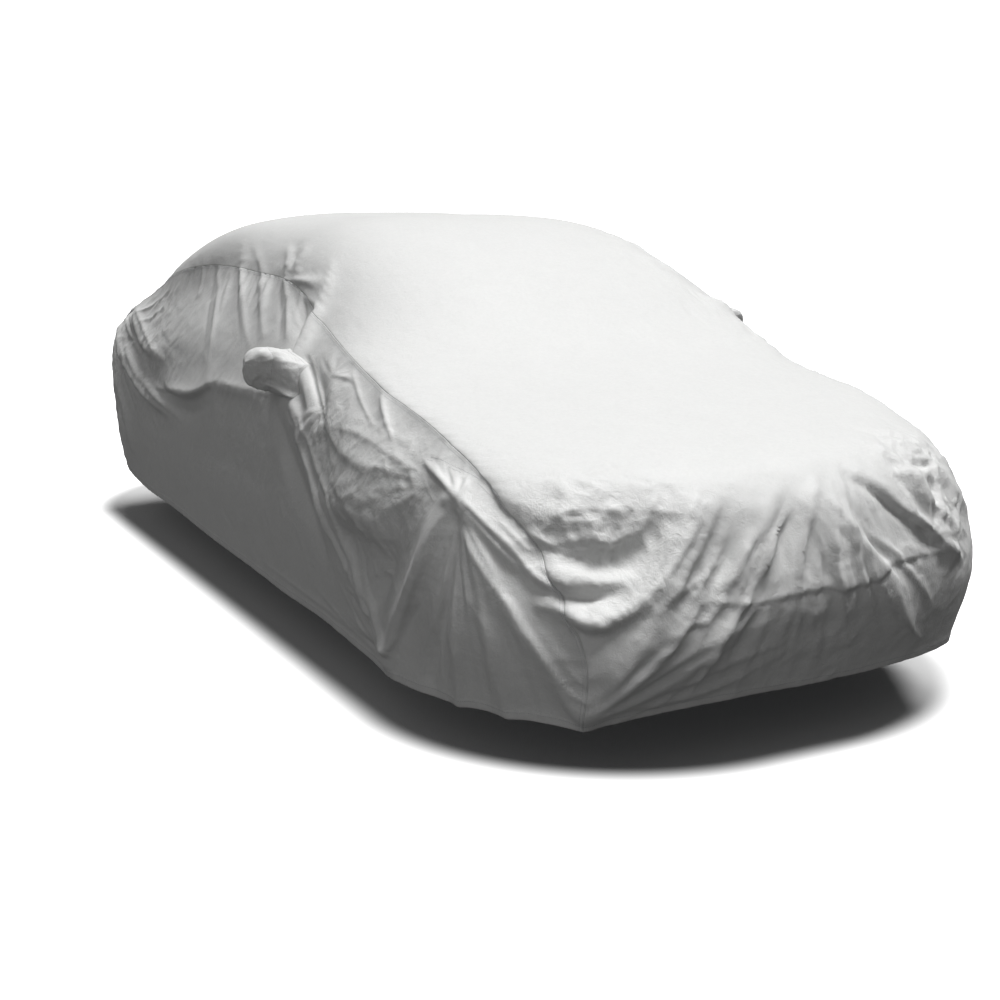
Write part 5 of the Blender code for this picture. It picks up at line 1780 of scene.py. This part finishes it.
# ---- studio
@dataclass
class Studio:
    """The floor, white with a painted shadow round the cover, the soft light and the camera."""

    world_fill: float = 0.085
    white: float = 2.0
    floor_size: float = 60.0

    def build(self) -> None:
        """Make the floor, the lights, the world and the camera, seen in plain tones."""
        bpy.context.scene.view_settings.view_transform = "Standard"
        self.make_camera()
        self.make_floor()
        self.make_light()
        self.make_world()

    @staticmethod
    def make_camera() -> None:
        """Set the camera where the photograph was taken from."""
        data = bpy.data.cameras.new("camera")
        data.lens = 53.06
        data.sensor_width = 36.0
        camera = add_object("camera", data)
        camera.location = (-2.555, -5.706, 0.064)
        camera.rotation_euler = (math.radians(78.47), 0.0, math.radians(-27.55))
        bpy.context.scene.camera = camera

    def make_floor(self) -> None:
        """Lay the floor, grey in a box round the cover and glowing white beyond it, so that the
        box's edge paints the outline of the cover's shadow.
        """
        half = self.floor_size / 2
        level = -float(ORIGIN[2])
        corners = [(-half, -half, level), (half, -half, level), (half, half, level),
                   (-half, half, level)]
        mesh = bpy.data.meshes.new("studio_floor")
        mesh.from_pydata(corners, [], [(0, 1, 2, 3)])
        # painted shade: the floor under the glow is mid grey, so that the cover's real cast shadow
        # shows darker there
        material, tree, shader = new_material(
            "studio_floor", {"Base Color": (0.50, 0.50, 0.50, 1), "Roughness": 0.9,
                             "Specular IOR Level": 0.1})
        place = node(tree, "ShaderNodeTexCoord").outputs["Object"]
        # painted shadow outline: beyond a box fitted to the cover's shadow the floor glows white,
        # which hides any light or shade there
        far = self.fade(tree, place, (0.10, 0.0, 0.0), (0.16, 1.70, 10.0), 0.90)
        glow = node(tree, "ShaderNodeEmission", {"Strength": self.white})
        mix = node(tree, "ShaderNodeMixShader", {0: far, 1: shader.outputs[0],
                                                 2: glow.outputs[0]})
        feed(tree.nodes["Material Output"], {"Surface": mix.outputs[0]})
        mesh.materials.append(material)
        floor = add_object("studio_floor", mesh)
        floor.visible_diffuse = False
        floor.visible_glossy = False
        floor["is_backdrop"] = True

    @staticmethod
    def fade(tree: NodeTree, place: NodeSocket, centre: tuple,
             half: tuple, reach: float) -> NodeSocket:
        """Return a soft step from 0 to 1 at a reach beyond a box round a centre, which here draws
        the painted shadow's edge on the floor.

        Args:
            tree: the material's tree.
            place: the place on the floor.
            centre: the box's centre.
            half: half its sizes.
            reach: how far beyond the box the middle of the step lies.

        Returns:
            The output that gives the step.
        """
        steps = (("SUBTRACT", {1: centre}), ("ABSOLUTE", {}), ("SUBTRACT", {1: half}),
                 ("MAXIMUM", {1: (0.0, 0.0, 0.0)}), ("LENGTH", {}))
        for operation, inputs in steps:
            made = node(tree, "ShaderNodeVectorMath", {0: place, **inputs}, operation=operation)
            place = made.outputs["Value" if operation == "LENGTH" else "Vector"]
        step = node(tree, "ShaderNodeMapRange",
                    {"Value": place, "From Min": reach - PAINTED_SHADOW_EDGE,
                     "From Max": reach + PAINTED_SHADOW_EDGE}, interpolation_type="SMOOTHSTEP")
        return step.outputs[0]

    @staticmethod
    def make_light() -> None:
        """Hang a broad soft light behind the left side, and a weak one by the camera."""
        for name, strength, angle, tilt, turn in (("overhead_light", 4.15, 36.0, 14.5, 90.0),
                                                  ("front_fill", 0.50, 60.0, 60.0, -52.0)):
            data = bpy.data.lights.new(name, "SUN")
            data.energy = strength
            data.angle = math.radians(angle)
            lamp = add_object(name, data)
            lamp.rotation_euler = (math.radians(tilt), 0.0, math.radians(turn))

    def make_world(self) -> None:
        """Fill the room with dim light, and show the camera a white background."""
        world = bpy.data.worlds.new("studio")
        bpy.context.scene.world = world
        world.use_nodes = True
        tree = world.node_tree
        fill = feed(tree.nodes["Background"], {"Color": (1, 1, 1, 1),
                                               "Strength": self.world_fill})
        white = node(tree, "ShaderNodeBackground", {"Strength": self.white})
        rays = node(tree, "ShaderNodeLightPath")
        mix = node(tree, "ShaderNodeMixShader", {0: rays.outputs["Is Camera Ray"],
                                                 1: fill.outputs[0], 2: white.outputs[0]})
        feed(tree.nodes["World Output"], {"Surface": mix.outputs[0]})


# ---- assembly
DART = ((-0.86, -1.52, 0.85), (-0.84, -1.64, 0.84), (-0.82, -1.74, 0.82), (-0.81, -1.82, 0.79))
DART_OFFSETS = ((0, 0, 0.0), (0.006, -0.004, 0.01))  # of its two lines of stitches
SEAM_LINES = (0.0035, 0.0125)
HEM_LINE = 0.021


def on_cloth(piece: Object, line: tuple, offset: tuple) -> np.ndarray:
    """Return a line laid on a piece of cloth.

    Args:
        piece: the piece.
        line: the line's points.
        offset: how far the line is moved first.

    Returns:
        The line's points, just proud of the cloth.
    """
    graph = bpy.context.evaluated_depsgraph_get()
    tree = BVHTree.FromObject(piece, graph)
    laid = []
    for point in smooth_through(line, chord_knots(line), np.linspace(0, 1, 60)):
        place, facing, _, _ = tree.find_nearest(Vector(point + np.array(offset) - ORIGIN))
        place = np.array(place) + ORIGIN
        sign = 1 if np.array(facing) @ (place - INSIDE) > 0 else -1
        laid.append(place + np.array(facing) * sign * THREAD_LIFT)
    return np.array(laid)


def dress(piece: Object, nodes: tuple = ()) -> None:
    """Fix a piece to the part and report it.

    Args:
        piece: the piece.
        nodes: the nodes that it stands for.
    """
    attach(piece, "root")
    if nodes:
        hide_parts(*nodes)
    piece.data.calc_loop_triangles()
    log.info("%s: %d triangles", piece.name, len(piece.data.loop_triangles))


def area_of(piece: Object) -> float:
    """Return a piece's area in square metres, both skins together."""
    areas = np.empty(len(piece.data.polygons), np.float32)
    piece.data.polygons.foreach_get("area", areas)
    return float(areas.sum())


def finish_top(cover: Cover, sewing: Sewing, skins: tuple) -> None:
    """Build and dress the top panel and its hems' stitches."""
    top = cover.top.build(skins)
    dress(top, ("top_panel",))
    for edge in ("front hem", "rear hem"):
        stitches = sewing.sew("stitches_" + edge.replace(" ", "_"),
                              [line_at(cover.top, edge, HEM_LINE)])
        dress(stitches)


def finish_side(hand: Hand, sheet: Sheet, sewing: Sewing, skins: tuple) -> None:
    """Build and dress a side panel, its pocket and their stitches.

    Args:
        hand: which flank it is.
        sheet: the panel's sheet.
        sewing: what lays the stitches.
        skins: the materials of the cloth's outer and inner skin.
    """
    panel = sheet.build(skins)
    dress(panel, ("side_panel_" + hand.word,))
    seams = [line_at(sheet, edge, distance) for distance in SEAM_LINES
             for edge in ("front", "seam", "rear")]
    on_side = [sewing.sew("stitches_seam_" + hand.word, seams),
               sewing.sew("stitches_hem_" + hand.word, [line_at(sheet, "hem", HEM_LINE)])]
    if hand is Hand.RIGHT:
        lines = [on_cloth(panel, DART, offset) for offset in DART_OFFSETS]
        on_side.append(sewing.sew("stitches_dart", lines))
    for piece in on_side:
        dress(piece)
    pocket = MirrorPocket(hand)
    cup = pocket.build(sheet, skins)
    dress(cup, ("mirror_pocket_" + hand.word,))
    rings = sewing.sew("stitches_pocket_" + hand.word, pocket.stitch_lines(sheet), closed=True)
    dress(rings)


def main() -> None:
    """Build the cover, its sewing and the studio, and report each piece."""
    logging.basicConfig(level=logging.INFO, format="%(name)s: %(message)s")
    groups = {"weave": weave_group(), "crinkle": crinkle_group(), "wear": wear_group()}
    skins = (ClothFinish("silver_cloth").build(groups),
             ClothFinish("silver_cloth_inside", (0.46, 0.47, 0.49), (0.38, 0.39, 0.41), 0.75,
                         0.0, 0.0).build(groups))
    sewing = Sewing(ThreadFinish().build())
    cover = Cover()
    cover.drape()
    finish_top(cover, sewing, skins)
    for hand, sheet in cover.sides.items():
        finish_side(hand, sheet, sewing, skins)
    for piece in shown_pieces():
        if piece.name.endswith("_cloth"):
            log.info("%s: %.3f m2", piece.name, area_of(piece))
    Studio().build()


if __name__ == "__main__":
    main()
